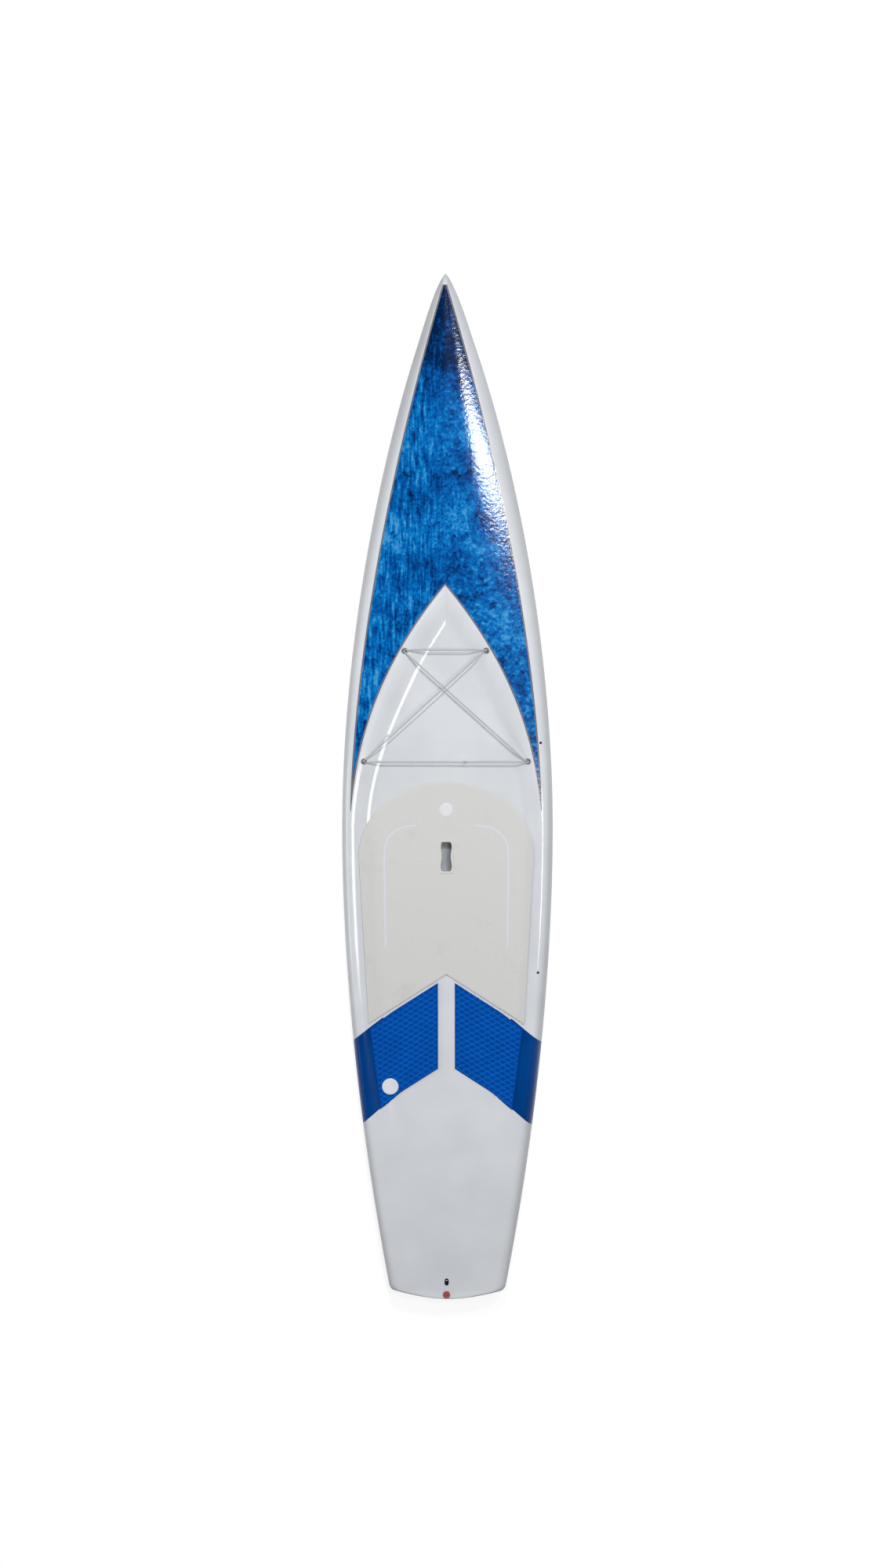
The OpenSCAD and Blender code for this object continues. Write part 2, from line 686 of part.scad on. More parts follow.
module deck_shell() {
    outer = deck_rows(0, bond / 2, 9, 4, 6);
    inner = deck_rows(skin, bond / 2, 6, 3, 5, stringer_face);
    color("white") difference() {
        closed_solid(concat(
            top_skin(outer, left_columns(outer)),
            under_skin(inner, left_columns(inner)),
            under_skin([last_side(outer), last_side(inner)]),
            turned(under_skin([first_side(outer), first_side(inner)]))
        ));
        at_handle(cup_shoulder - overcut) linear_extrude(3 * overcut) handle_neck(bond);
        for (i = [0:3]) plug_hole(i, bond);
        for (i = [0:1]) strap_hole(i, strap_outer / 2 + bond);
        leash_hole(bond, leash_depth);
        vent_hole(bond, vent_depth);
    }
}
module bottom_shell() {
    outer = bottom_rows(0, bond / 2, 3, 6);
    inner = bottom_rows(skin, bond / 2, 3, 5);
    color("whitesmoke") difference() {
        closed_solid(concat(
            under_skin(outer, left_columns(outer)),
            top_skin(inner, left_columns(inner)),
            turned(under_skin([last_side(outer), last_side(inner)])),
            under_skin([first_side(outer), first_side(inner)])
        ));
        fin_box_hole(bond);
    }
}

// Right half of the foam core, before its pockets.
function core_deck() =
    [for (y = row_y(core_inset))
        [for (c = deck_columns(y, core_inset, 6, 3, 5, stringer_face))
            let (x = max(stringer_face, c)) [x, y, deck_z(x, y, core_inset)]]];
function core_bottom() =
    [for (y = row_y(core_inset))
        [for (c = bottom_columns(y, core_inset, 3, 5))
            let (x = max(stringer_face, c)) [x, y, bottom_z(x, y, core_inset)]]];
module core_half() {
    top = core_deck();
    low = core_bottom();
    intersection() {
        closed_solid(concat(
            top_skin(top),
            under_skin(low),
            turned(under_skin([first_side(top), first_side(low)]))
        ));
        translate([0, -half_length, 0]) cube([half_width, board_length - core_from_nose, board_width]);
    }
}
module middle_pockets() {
    block_shape(bond);
    fin_block_shape(bond);
    leash_hole(bond, leash_depth + bond);
    vent_hole(bond, vent_depth + bond);
}
module core_left() {
    color("ivory") difference() {
        mirror([1, 0, 0]) core_half();
        middle_pockets();
        plug_hole(0, bond);
        plug_hole(2, bond);
    }
}
module core_right() {
    color("ivory") difference() {
        core_half();
        middle_pockets();
        plug_hole(1, bond);
        plug_hole(3, bond);
        for (i = [0:1]) strap_pocket(i, bond, overcut);
    }
}
module stringer() {
    ys = [for (y = row_y(core_inset)) if (abs(y) < half_length - stringer_from_ends) y];
    color("burlywood") difference() {
        translate([-stringer_thick / 2, 0, 0]) rotate([90, 0, 90]) linear_extrude(stringer_thick)
            polygon(concat(
                [for (y = ys) [y, min(deck_z(0, y, core_inset), deck_z(stringer_face, y, core_inset))]],
                [for (i = [len(ys) - 1:-1:0]) [ys[i], bottom_z(stringer_face, ys[i], core_inset)]]
            ));
        middle_pockets();
    }
}

// Printed cloth over the nose deck, between the arch and the deck line.
module nose_inlay() {
    end_s = arch_from_nose + inlay_tail;
    ss = concat(inlay_from_nose, [for (s = stations) if (s > inlay_from_nose && s < end_s) s], end_s);
    half = [for (s = ss)
        let (y = half_length - s, a = dish_half(y) > 0 ? dish_half(y) + inlay_arch_margin : 0)
        [for (k = [0:4]) [a + (chine(y) - inlay_line_margin - a) * k / 4, y]]];
    function lift(rows, side, up) = [for (r = rows) [for (p = r) [side * p.x, p.y, deck_z(p.x, p.y) + up]]];
    top_r = lift(half, 1, bond + inlay_thick);
    low_r = lift(half, 1, bond);
    top_l = lift(half, -1, bond + inlay_thick);
    low_l = lift(half, -1, bond);
    n = len(ss) - 1;
    open = [for (i = [0:n]) if (half[i][0].x > 0) i];
    from = open[0] - 1;
    inner = [for (i = [from:n]) i];
    color("steelblue") closed_solid(concat(
        top_skin(top_r),
        under_skin(low_r),
        under_skin(top_l),
        top_skin(low_l),
        under_skin([last_side(top_r), last_side(low_r)]),
        turned(under_skin([last_side(top_l), last_side(low_l)])),
        under_skin([top_r[0], low_r[0]]),
        turned(under_skin([top_l[0], low_l[0]])),
        turned(under_skin([top_r[n], low_r[n]])),
        under_skin([top_l[n], low_l[n]]),
        turned(under_skin([[for (i = inner) top_r[i][0]], [for (i = inner) low_r[i][0]]])),
        under_skin([[for (i = inner) top_l[i][0]], [for (i = inner) low_l[i][0]]])
    ));
}

// Foam pads.
pad_half = half_width - pad_margin;
function pad_point(u, v) =
    let (front = [pad_half * sin(90 * v), pad_from_nose + pad_arc_length * (1 - cos(90 * v))])
    let (rear = [pad_rear_half_width * v, chevron_from_nose + chevron_slope * pad_rear_half_width * abs(v)])
    let (p = front + (rear - front) * u)
    [p.x, half_length - p.y];
module deck_pad() {
    plan = [for (i = [0:14]) [for (j = [-12:12]) pad_point(i / 14, sin(90 * j / 12))]];
    color("tan") difference() {
        closed_solid(slab(plan, pad_glue, pad_glue + pad_thickness, left_columns(plan)));
        at_handle(cup_shoulder) linear_extrude(3 * overcut) handle_neck(bond);
    }
}
tail_front_s = chevron_from_nose + pad_gap + chevron_slope * tail_pad_inner;
function tail_point(u, v) =
    let (outer = tail_pad_front + (tail_pad_rear - tail_pad_front) * u)
    let (x = tail_pad_inner + (outer - tail_pad_inner) * v)
    let (sweep = tail_sweep_front + (tail_sweep_rear - tail_sweep_front) * u)
    let (back = tail_pad_length * u + sweep * ease((x - outer) / tail_sweep_width + 1))
    [x, half_length - tail_front_s - back - chevron_slope * (x - tail_pad_inner)];
module tail_pad() {
    plan = [for (i = [0:8]) [for (j = [0:24]) tail_point(i / 8, j / 24)]];
    closed_solid(slab(plan, pad_glue, pad_glue + pad_thickness));
}
module tail_pad_left() color("royalblue") mirror([1, 0, 0]) tail_pad();
module tail_pad_right() color("royalblue") tail_pad();
function disc_plan(x, y, r) =
    [for (i = [-4:4])
        [for (j = [-4:4])
            let (u = j / 4, v = -i / 4)
            [x + r * u * sqrt(1 - v * v / 2), y + r * v * sqrt(1 - u * u / 2)]]];
disc_low = pad_glue + pad_thickness + disc_glue;
module pad_disc() {
    color("white") closed_solid(slab(disc_plan(0, half_length - disc_from_nose, disc_diameter / 2),
                                     disc_low, disc_low + disc_thickness));
}
module tail_disc() {
    back = tail_disc_back + chevron_slope * (tail_disc_left - tail_pad_inner);
    y = half_length - tail_front_s - back;
    color("white") closed_solid(slab(disc_plan(-tail_disc_left, y, tail_disc_diameter / 2),
                                     disc_low, disc_low + disc_thickness));
}

module handle_cup() {
    color("slategray") difference() {
        union() {
            at_handle(cup_bottom) linear_extrude(cup_shoulder - cup_bottom)
                waisted(cup_half, cup_half, cup_half_length);
            at_handle(handle_floor) linear_extrude(handle_depth) handle_neck(0);
        }
        at_handle(handle_floor) linear_extrude(handle_depth - handle_lip)
            waisted(cup_half - handle_wall, cup_half - handle_wall, cup_half_length - handle_wall);
        at_handle(handle_floor + handle_wall) linear_extrude(handle_depth)
            waisted(handle_width / 2, handle_waist / 2, handle_length / 2);
        at_handle(handle_top - handle_lip / 2) rotate([0, -90, 0])
            cylinder(d = lip_hole, h = handle_waist / 2 + lip_hole, $fn = 24);
    }
}
module handle_block() {
    color("wheat") difference() {
        intersection() {
            block_shape(0);
            translate([-half_width, -half_length, 0])
                cube([board_width, board_length, cup_shoulder - cup_drop]);
        }
        at_handle(cup_bottom - bond) linear_extrude(handle_depth + overcut)
            waisted(cup_half + bond, cup_half + bond, cup_half_length + bond);
    }
}

module plug_cup(i) {
    on_deck(plugs[i].x, plugs[i].y, [-sign(plugs[i].x), 0, 0]) difference() {
        union() {
            translate([0, 0, -plug_depth])
                cylinder(r = plug_body, h = plug_depth + plug_flange_thick, $fn = 48);
            translate([0, 0, bond]) cylinder(d = plug_flange, h = plug_flange_thick - bond, $fn = 48);
        }
        translate([0, 0, plug_wall - plug_depth])
            cylinder(d = plug_bore, h = plug_depth + overcut, $fn = 48);
        translate([0, 0, plug_flange_thick - bar_drop]) rotate([90, 0, 0])
            cylinder(d = plug_bar + bar_clearance, h = plug_bore + plug_wall, center = true, $fn = 32);
    }
}
module plug_bar_piece(i) {
    on_deck(plugs[i].x, plugs[i].y, [-sign(plugs[i].x), 0, 0])
        translate([0, 0, plug_flange_thick - bar_drop]) rotate([90, 0, 0])
            cylinder(d = plug_bar, h = plug_bore + plug_wall - 2 * bar_clearance, center = true, $fn = 32);
}
module bungee_plug_front_left() color("gray") plug_cup(0);
module bungee_plug_front_right() color("gray") plug_cup(1);
module bungee_plug_rear_left() color("gray") plug_cup(2);
module bungee_plug_rear_right() color("gray") plug_cup(3);
module bungee_bar_front_left() color("silver") plug_bar_piece(0);
module bungee_bar_front_right() color("silver") plug_bar_piece(1);
module bungee_bar_rear_left() color("silver") plug_bar_piece(2);
module bungee_bar_rear_right() color("silver") plug_bar_piece(3);

// Bungee route: over each bar, under it and up on the inner side, then on to the next plug.
wrap = (plug_bar + cord) / 2 + bond;
function plug_frame_point(i, a, side, c) =
    let (p = plugs[i], lead = [-sign(p.x), 0, 0])
    let (n = deck_normal(p.x, p.y), u = deck_lead(p.x, p.y, lead), v = cross(n, u))
    [p.x, p.y, deck_z(p.x, p.y)] + a * u - sign(p.x) * side * v + (c + plug_flange_thick - bar_drop) * n;
// Front-to-rear steps of the two strands: came for the incoming one, left for the outgoing one.
function plug_turn(i, came, left) = concat(
    [for (a = [90:30:360])
        plug_frame_point(i, wrap * cos(a), came + (left - came) * (a - 90) / 270, wrap * sin(a))],
    [for (a = [30:30:90])
        plug_frame_point(i, 2 * wrap - wrap * cos(a), left, wrap * sin(a))]
);
function span(p, q, hump) =
    [for (k = [1:5]) p + (q - p) * k / 6 + [0, 0, hump * sin(180 * min(1, max(0, (k - 1) / 4)))]];
half_step = strand_step / 2;
turn_fr = plug_turn(1, half_step, -half_step);
turn_rl = plug_turn(2, half_step, -half_step);
turn_rr = plug_turn(3, -half_step, half_step);
turn_fl = plug_turn(0, -half_step, half_step);
function tip_of(t) = t[len(t) - 1];
bungee_line = concat(
    turn_fl, span(tip_of(turn_fl), turn_fr[0], 0),
    turn_fr, span(tip_of(turn_fr), turn_rl[0], cord_over),
    turn_rl, span(tip_of(turn_rl), turn_rr[0], 0),
    turn_rr, span(tip_of(turn_rr), turn_fl[0], -cord_under)
);
function loop_ring(line, i, r, sides) =
    let (n = len(line), t = unit(line[(i + 1) % n] - line[(i + n - 1) % n]))
    let (a = unit(cross(t, [0, 1, 0])), b = cross(t, a))
    [for (k = [0:sides]) let (g = 360 * (k % sides) / sides) line[i] + r * (cos(g) * a + sin(g) * b)];
module deck_bungee() {
    n = len(bungee_line);
    color("gainsboro") closed_solid(under_skin(
        [for (i = [0:n]) loop_ring(bungee_line, i % n, cord / 2, cord_sides)]
    ));
}
module bungee_crimp() {
    p = tip_of(turn_rl);
    q = turn_rr[0];
    at = p + (q - p) * (crimp_right - p.x) / (q.x - p.x);
    color("dimgray") translate([crimp_right, at.y, at.z]) rotate([0, 90, 0]) difference() {
        cylinder(d = cord + 2 * bond + 2 * crimp_wall, h = crimp_length, center = true, $fn = 40);
        cylinder(d = cord + 2 * bond, h = crimp_length + overcut, center = true, $fn = 40);
    }
}

module leash_plug() {
    color("black") difference() {
        translate([0, leash_y, leash_top - leash_depth + bond]) linear_extrude(leash_depth)
            stadium(leash_length, leash_width);
        translate([0, leash_y, leash_top - leash_depth + bond + leash_wall]) linear_extrude(leash_depth)
            stadium(leash_length - 2 * leash_wall, leash_width - 2 * leash_wall);
        translate([0, leash_y + leash_bar_forward, leash_top - leash_bar]) rotate([0, 90, 0])
            cylinder(d = leash_bar + bar_clearance, h = leash_width - leash_wall, center = true, $fn = 32);
    }
}
module leash_bar_piece() {
    color("silver") translate([0, leash_y + leash_bar_forward, leash_top - leash_bar]) rotate([0, 90, 0])
        cylinder(d = leash_bar, h = leash_width - leash_wall - 2 * bar_clearance, center = true, $fn = 32);
}

vent_head_low = vent_top + bond + seal_ring + 2 * seal_gap;
module vent_socket() {
    color("gray") translate([0, vent_y, vent_top + bond - vent_depth]) difference() {
        cylinder(r = vent_outer, h = vent_depth, $fn = 64);
        translate([0, 0, vent_wall]) cylinder(r = vent_bore, h = vent_depth, $fn = 64);
    }
}
module vent_seal() {
    color("black") translate([0, vent_y, vent_top + bond + seal_gap]) difference() {
        cylinder(r = vent_outer, h = seal_ring, $fn = 64);
        translate([0, 0, -overcut]) cylinder(r = vent_bore, h = 3 * overcut, $fn = 64);
    }
}
module vent_plug() {
    color("crimson") translate([0, vent_y, vent_head_low]) difference() {
        union() {
            cylinder(d = vent_head, h = vent_head_thick, $fn = 64);
            translate([0, 0, -vent_shank_length])
                cylinder(d = vent_shank, h = vent_shank_length + vent_head_thick / 2, $fn = 64);
        }
        translate([-vent_slot_length / 2, -vent_slot_width / 2, vent_head_thick - vent_slot_depth])
            cube([vent_slot_length, vent_slot_width, overcut]);
        for (side = [-1, 1]) translate([side * vent_key_out, 0, vent_head_thick - vent_slot_depth])
            cylinder(d = vent_key, h = overcut, $fn = 24);
    }
}

module strap_tube(i) {
    at_strap(i) translate([0, 0, bond - strap_length]) difference() {
        cylinder(d = strap_outer, h = strap_length, $fn = 48);
        translate([0, 0, strap_floor]) cylinder(d = strap_bore, h = strap_length, $fn = 48);
    }
}
module strap_foam(i) {
    difference() {
        strap_pocket(i, 0, -core_inset - strap_cover);
        strap_hole(i, strap_outer / 2 + bond);
    }
}
module strap_insert_front() color("goldenrod") strap_tube(0);
module strap_insert_rear() color("goldenrod") strap_tube(1);
module strap_plug_front() color("wheat") strap_foam(0);
module strap_plug_rear() color("wheat") strap_foam(1);

module fin_box() {
    color("dimgray") at_fin() difference() {
        linear_extrude(fin_box_depth) stadium(fin_box_length, fin_box_width);
        translate([0, 0, -overcut]) linear_extrude(fin_slot_depth + overcut)
            stadium(fin_slot_length, fin_slot_width);
        translate([-fin_channel_width / 2, -fin_slot_length / 2 + fin_slot_width / 2, fin_lip_depth])
            cube([fin_channel_width, fin_slot_length - fin_slot_width, fin_channel_height]);
        translate([-fin_channel_width / 2, -fin_plate_length / 2 - fin_entry_room, -overcut])
            cube([fin_channel_width, fin_plate_length + 2 * fin_entry_room, fin_lip_depth + overcut + bond]);
    }
}
module fin_box_block() {
    color("wheat") difference() {
        intersection() {
            fin_block_shape(0);
            at_fin() translate([-half_width, -half_length, core_inset + fin_cover])
                cube([board_width, board_length, fin_box_depth + fin_block_wall]);
        }
        at_fin() translate([0, 0, -overcut]) linear_extrude(overcut + fin_box_depth + bond)
            stadium(fin_box_length + 2 * bond, fin_box_width + 2 * bond);
    }
}
fin_plate_z = fin_lip_depth + (fin_channel_height - fin_plate_thick) / 2;
module at_plate() at_fin() translate([0, fin_rest, fin_plate_z]) children();
module fin_plate() {
    color("silver") at_plate() difference() {
        translate([fin_clearance - fin_channel_width / 2, -fin_plate_length / 2, 0])
            cube([fin_channel_width - 2 * fin_clearance, fin_plate_length, fin_plate_thick]);
        translate([0, 0, -overcut])
            cylinder(r = fin_screw_shank / 2 + fin_screw_clearance, h = 3 * overcut, $fn = 32);
    }
}
module fin_screw() {
    low = fin_plate_thick + fin_screw_past - fin_screw_length;
    deep = overcut + fin_screw_slot_depth;
    color("silver") at_plate() translate([0, 0, low - fin_screw_head_height]) difference() {
        union() {
            cylinder(d = fin_screw_shank, h = fin_screw_head_height + fin_screw_length, $fn = 32);
            cylinder(d = fin_screw_head, h = fin_screw_head_height, $fn = 48);
        }
        translate([-fin_screw_slot / 2, -fin_screw_head, -overcut])
            cube([fin_screw_slot, 2 * fin_screw_head, deep]);
        translate([-fin_screw_arm / 2, -fin_screw_slot / 2, -overcut])
            cube([fin_screw_arm, fin_screw_slot, deep]);
    }
}

deck_shell();
bottom_shell();
core_left();
core_right();
stringer();
nose_inlay();
deck_pad();
tail_pad_left();
tail_pad_right();
pad_disc();
tail_disc();
handle_cup();
handle_block();
bungee_plug_front_left();
bungee_plug_front_right();
bungee_plug_rear_left();
bungee_plug_rear_right();
bungee_bar_front_left();
bungee_bar_front_right();
bungee_bar_rear_left();
bungee_bar_rear_right();
deck_bungee();
bungee_crimp();
leash_plug();
leash_bar_piece();
vent_socket();
vent_seal();
vent_plug();
strap_insert_front();
strap_insert_rear();
strap_plug_front();
strap_plug_rear();
fin_box();
fin_box_block();
fin_plate();
fin_screw();
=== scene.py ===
import math

import bmesh
import bpy
import numpy as np
from mathutils import Matrix, Vector


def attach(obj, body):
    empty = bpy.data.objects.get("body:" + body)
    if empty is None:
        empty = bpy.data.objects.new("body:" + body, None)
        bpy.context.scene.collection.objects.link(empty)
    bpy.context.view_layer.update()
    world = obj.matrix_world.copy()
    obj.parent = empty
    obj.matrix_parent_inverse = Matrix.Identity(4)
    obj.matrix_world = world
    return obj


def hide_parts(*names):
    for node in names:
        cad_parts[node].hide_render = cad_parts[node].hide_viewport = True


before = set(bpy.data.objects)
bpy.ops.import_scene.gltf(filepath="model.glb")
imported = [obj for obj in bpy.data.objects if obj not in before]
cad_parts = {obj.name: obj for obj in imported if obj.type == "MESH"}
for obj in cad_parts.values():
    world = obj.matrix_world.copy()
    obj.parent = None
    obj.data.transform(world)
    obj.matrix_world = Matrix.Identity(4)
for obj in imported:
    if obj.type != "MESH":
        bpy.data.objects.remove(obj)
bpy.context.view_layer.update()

mm = 0.001  # the hull is worked out in millimetres, meshes are in metres
tiny = 1e-6  # keeps a division from meeting zero
print("frame loaded:", len(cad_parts), "nodes")


# the board's sizes in mm, the same as its solids'; a pair is a distance from the nose and a run
hull = dict(
    length=3810.0, width=787.0, railHeight=150.0, widestFromNose=2051.0,
    noseCurve=1.9, nosePoint=0.88, noseRound=16.0, noseRoundLength=250.0, noseRoundFade=1.5,
    tailWidth=430.0, tailBow=35.0, tailBowCurve=1.7, tailCurve=1.88, cornerTightness=24.0,
    noseRocker=120.0, noseRockerLength=1405.0, noseRockerCurve=2.2,
    tailRocker=32.0, tailRockerLength=1005.0, tailRockerCurve=2.0,
    noseDeckRise=55.0, noseRiseCurve=2.5, tailDeckDrop=43.0,
    railApex=62.0, noseApexDrop=14.0, tailApexDrop=32.0,
    bowDeadrise=0.3, deadriseCurve=1.2, keelRound=30.0,
    bottomRound=90.0, tailBottomRound=35.0, bottomTightens=(2857.0, 900.0), bottomRoundShare=0.75,
    shoulder=37.0, lineFromNose=16.0, lineLength=2000.0, lineCurve=1.68, lineShare=0.7,
    noseCrown=34.0, crownHalfWidth=300.0,
    archFromNose=1155.0, archLength=1060.0, archCurve=2.45, archOver=5.0,
    dishDepth=28.0, tailDishDepth=4.0, dishRises=(2810.0, 985.0),
    archWall=115.0, padWall=75.0, tailWall=150.0, wallNarrows=(1500.0, 500.0), wallWidens=(2600.0, 1000.0),
    stemRound=40.0, tailRound=6.0, noseRailPower=1.25, railPowerGain=0.95, railPowerRun=1700.0,
)
halfLength = hull["length"] / 2
halfWidth = hull["width"] / 2
tailHalf = hull["tailWidth"] / 2
widestY = halfLength - hull["widestFromNose"]


def share(v):
    return np.clip(v, 0.0, 1.0)


# 0 to 1 with level ends
def ease(v):
    k = share(v)
    return k * k * (3 - 2 * k)


# the same along the board, over a run behind the nose
def easeAlong(y, startAndRun):
    start, run = startAndRun
    return ease((halfLength - y - start) / run)


# half-width of the plan: a power curve to the nose, another to the tail, cut by the bowed tail edge
def outlineHalf(y):
    s = share((y - widestY) / (halfLength - widestY))
    r = share((halfLength - y) / hull["noseRoundLength"])
    nose = halfWidth * (1 - s ** hull["noseCurve"]) ** hull["nosePoint"]
    nose = nose + hull["noseRound"] * np.sqrt(r) * (1 - r) ** hull["noseRoundFade"]
    t = np.maximum(0, (widestY - y) / (widestY + halfLength - hull["tailBow"]))
    rear = halfWidth - (halfWidth - tailHalf) * t ** hull["tailCurve"]
    side = np.where(y > widestY, nose, rear)
    end = tailHalf * (np.maximum(0, y + halfLength) / hull["tailBow"]) ** (1 / hull["tailBowCurve"])
    n = hull["cornerTightness"]
    big = np.maximum(np.maximum(side, end), tiny)
    return side * end / (big * ((side / big) ** n + (end / big) ** n) ** (1 / n))


# half-width of the line where the deck turns over into the rail
def deckLine(y):
    w = outlineHalf(y)
    k = share((halfLength - y - hull["lineFromNose"]) / hull["lineLength"])
    nose = (halfWidth - hull["shoulder"]) * (1 - (1 - k) ** hull["lineCurve"])
    return np.minimum(nose, np.maximum(hull["lineShare"] * w, w - hull["shoulder"]))


# half-width of the dished part: the arch behind the nose, then the deck line
def dishHalf(y):
    k = share((halfLength - hull["archFromNose"] - y) / hull["archLength"])
    arch = (halfWidth - hull["shoulder"] + hull["archOver"]) * (1 - (1 - k) ** hull["archCurve"])
    return np.minimum(arch, deckLine(y))


# height of the keel: level in the middle, lifted by a power curve to the nose and to the tail
def keelHeight(y):
    nose = share((y - halfLength) / hull["noseRockerLength"] + 1) ** hull["noseRockerCurve"]
    tail = share((-halfLength - y) / hull["tailRockerLength"] + 1) ** hull["tailRockerCurve"]
    return hull["noseRocker"] * nose + hull["tailRocker"] * tail


# height of the rail's outermost line: over the keel, less a drop with the square of the way to each end
def railApex(y):
    drop = np.where(y > 0, hull["noseApexDrop"], hull["tailApexDrop"])
    return keelHeight(y) + hull["railApex"] - drop * (y / halfLength) ** 2


# the deck before it is dished: the shoulder's height and a crown, less by the square of the way to the line
def domeTop(x, y):
    k = np.abs(y) / halfLength
    rise = hull["noseDeckRise"] * k ** hull["noseRiseCurve"]
    drop = hull["tailDeckDrop"] * k ** 2
    shoulderTop = hull["railHeight"] + np.where(y > 0, rise, -drop)
    b = np.maximum(deckLine(y), tiny)
    crown = hull["noseCrown"] * np.sin(math.pi / 2 * share(b / hull["crownHalfWidth"]))
    return shoulderTop + crown * (1 - (x / b) ** 2)


# width of the dish's wall: wide at the arch, narrow beside the pad and wide again at the tail
def wallWidth(y):
    wall = hull["archWall"] + (hull["padWall"] - hull["archWall"]) * easeAlong(y, hull["wallNarrows"])
    return wall + (hull["tailWall"] - hull["padWall"]) * easeAlong(y, hull["wallWidens"])


# an edge that starts upright at k = 0 and runs out level at k = 1
def roundEdge(k, power):
    return (1 - (1 - share(k)) ** power) ** (1 / power)


# the smaller of the way to the stem and the way to the bowed tail edge, in widths of their roundings
def endRounding(x, y):
    tail = -halfLength + hull["tailBow"] * (np.abs(x) / tailHalf) ** hull["tailBowCurve"]
    return np.minimum((halfLength - y) / hull["stemRound"], (y - tail) / hull["tailRound"])


# the deck: a crowned dome, sunk inside the arch by an eased wall, and rounded down to the rail
def deckZ(x, y):
    x = np.abs(x)
    h = dishHalf(y)
    b = deckLine(y)
    w = outlineHalf(y)
    depth = hull["dishDepth"] + (hull["tailDishDepth"] - hull["dishDepth"]) * easeAlong(y, hull["dishRises"])
    inside = domeTop(h, y) - depth * ease((h - x) / wallWidth(y))
    top = np.where(x < h, inside, domeTop(np.minimum(x, b), y))
    low = railApex(y)
    power = hull["noseRailPower"] + hull["railPowerGain"] * ease((halfLength - y) / hull["railPowerRun"])
    rail = (w - x) / np.maximum(w - b, tiny)
    return low + (top - low) * roundEdge(np.minimum(rail, endRounding(x, y)), power)


# width of the bottom's rounding: eased from the middle's to the tail's, at most a share of the half-width
def bottomRounding(y):
    k = easeAlong(y, hull["bottomTightens"])
    r = hull["bottomRound"] + (hull["tailBottomRound"] - hull["bottomRound"]) * k
    return np.minimum(r, hull["bottomRoundShare"] * outlineHalf(y))


# the bottom: a flat with rocker, vee'd towards the bow, and rounded up to the rail
def bottomZ(x, y):
    x = np.abs(x)
    toBow = share((y - halfLength) / hull["noseRockerLength"] + 1)
    vee = hull["bowDeadrise"] * toBow ** hull["deadriseCurve"]
    flat = keelHeight(y) + vee * (np.sqrt(x * x + hull["keelRound"] ** 2) - hull["keelRound"])
    high = railApex(y)
    rail = (outlineHalf(y) - x) / np.maximum(bottomRounding(y), tiny)
    return high - (high - flat) * roundEdge(np.minimum(rail, endRounding(x, y)), 2)


# a frame on the deck at one point: its place, a first axis along lead, a second one and the normal
def deckFrame(x, y, lead):
    x, y = np.float64(x), np.float64(y)
    normal = np.array([deckZ(x - 1, y) - deckZ(x + 1, y), deckZ(x, y - 1) - deckZ(x, y + 1), 2.0])
    normal = normal / np.linalg.norm(normal)
    first = np.array(lead, float)
    first = first - first.dot(normal) * normal
    first = first / np.linalg.norm(first)
    return np.array([x, y, float(deckZ(x, y))]), first, np.cross(normal, first), normal


# quads of a grid of points, with the last row or column joined to the first where asked
def gridFaces(rows, cols, joinRows=False, joinCols=False):
    i = np.arange(rows if joinRows else rows - 1)[:, None]
    j = np.arange(cols if joinCols else cols - 1)[None, :]
    i2 = (i + 1) % rows
    j2 = (j + 1) % cols
    quads = np.stack([i * cols + j, i * cols + j2, i2 * cols + j2, i2 * cols + j], axis=-1)
    return quads.reshape(-1, 4)


# a mesh object from points in mm: points that no face uses are left out, and points that meet are merged
def makePiece(name, points, faces, material, values=None, merge=0.02):
    used, corners = np.unique(faces, return_inverse=True)
    points = points.reshape(-1, 3)[used] * mm
    mesh = bpy.data.meshes.new(name)
    mesh.from_pydata(points.tolist(), [], corners.reshape(faces.shape).tolist())
    for key, value in (values or {}).items():
        layer = mesh.attributes.new(key, "FLOAT", "POINT")
        layer.data.foreach_set("value", np.asarray(value, dtype=np.float32).ravel()[used])
    work = bmesh.new()
    work.from_mesh(mesh)
    bmesh.ops.remove_doubles(work, verts=work.verts, dist=merge * mm)
    work.to_mesh(mesh)
    work.free()
    mesh.polygons.foreach_set("use_smooth", np.ones(len(mesh.polygons), dtype=bool))
    mesh.materials.append(material)
    mesh.update()
    piece = bpy.data.objects.new(name, mesh)
    bpy.context.scene.collection.objects.link(piece)
    return piece


# a wall inwards; open edges are marked sharp, so that the cut sides don't bend the face's shading
def giveWall(piece, thickness):
    mesh = piece.data
    edgeOf = np.empty(len(mesh.loops), dtype=np.int32)
    mesh.loops.foreach_get("edge_index", edgeOf)
    mesh.edges.foreach_set("use_edge_sharp", np.bincount(edgeOf, minlength=len(mesh.edges)) == 1)
    wall = piece.modifiers.new("wall", "SOLIDIFY")
    wall.thickness = thickness * mm
    wall.offset = -1
    return piece


# places of the fittings and sizes of their holes in mm; a slot is a half-width and a half-length
fittings = dict(
    frontPlug=(151.9, 508.0), rearPlug=(305.1, 98.0), plugHole=10.3,
    handleY=-256.0, handleEnd=21.0, handleWaist=17.0, handleLong=55.0, handleRim=7.0, rimSeat=3.0,
    handleCorner=6.5, handleWaistRun=0.7,
    leashY=-1838.0, leashSlot=(7.6, 12.85), ventY=-1885.0, ventHole=8.0,
    finY=-1455.0, finSlot=(12.8, 132.3), strapY=(167.0, -684.0), strapIn=32.0, strapHole=4.2,
)


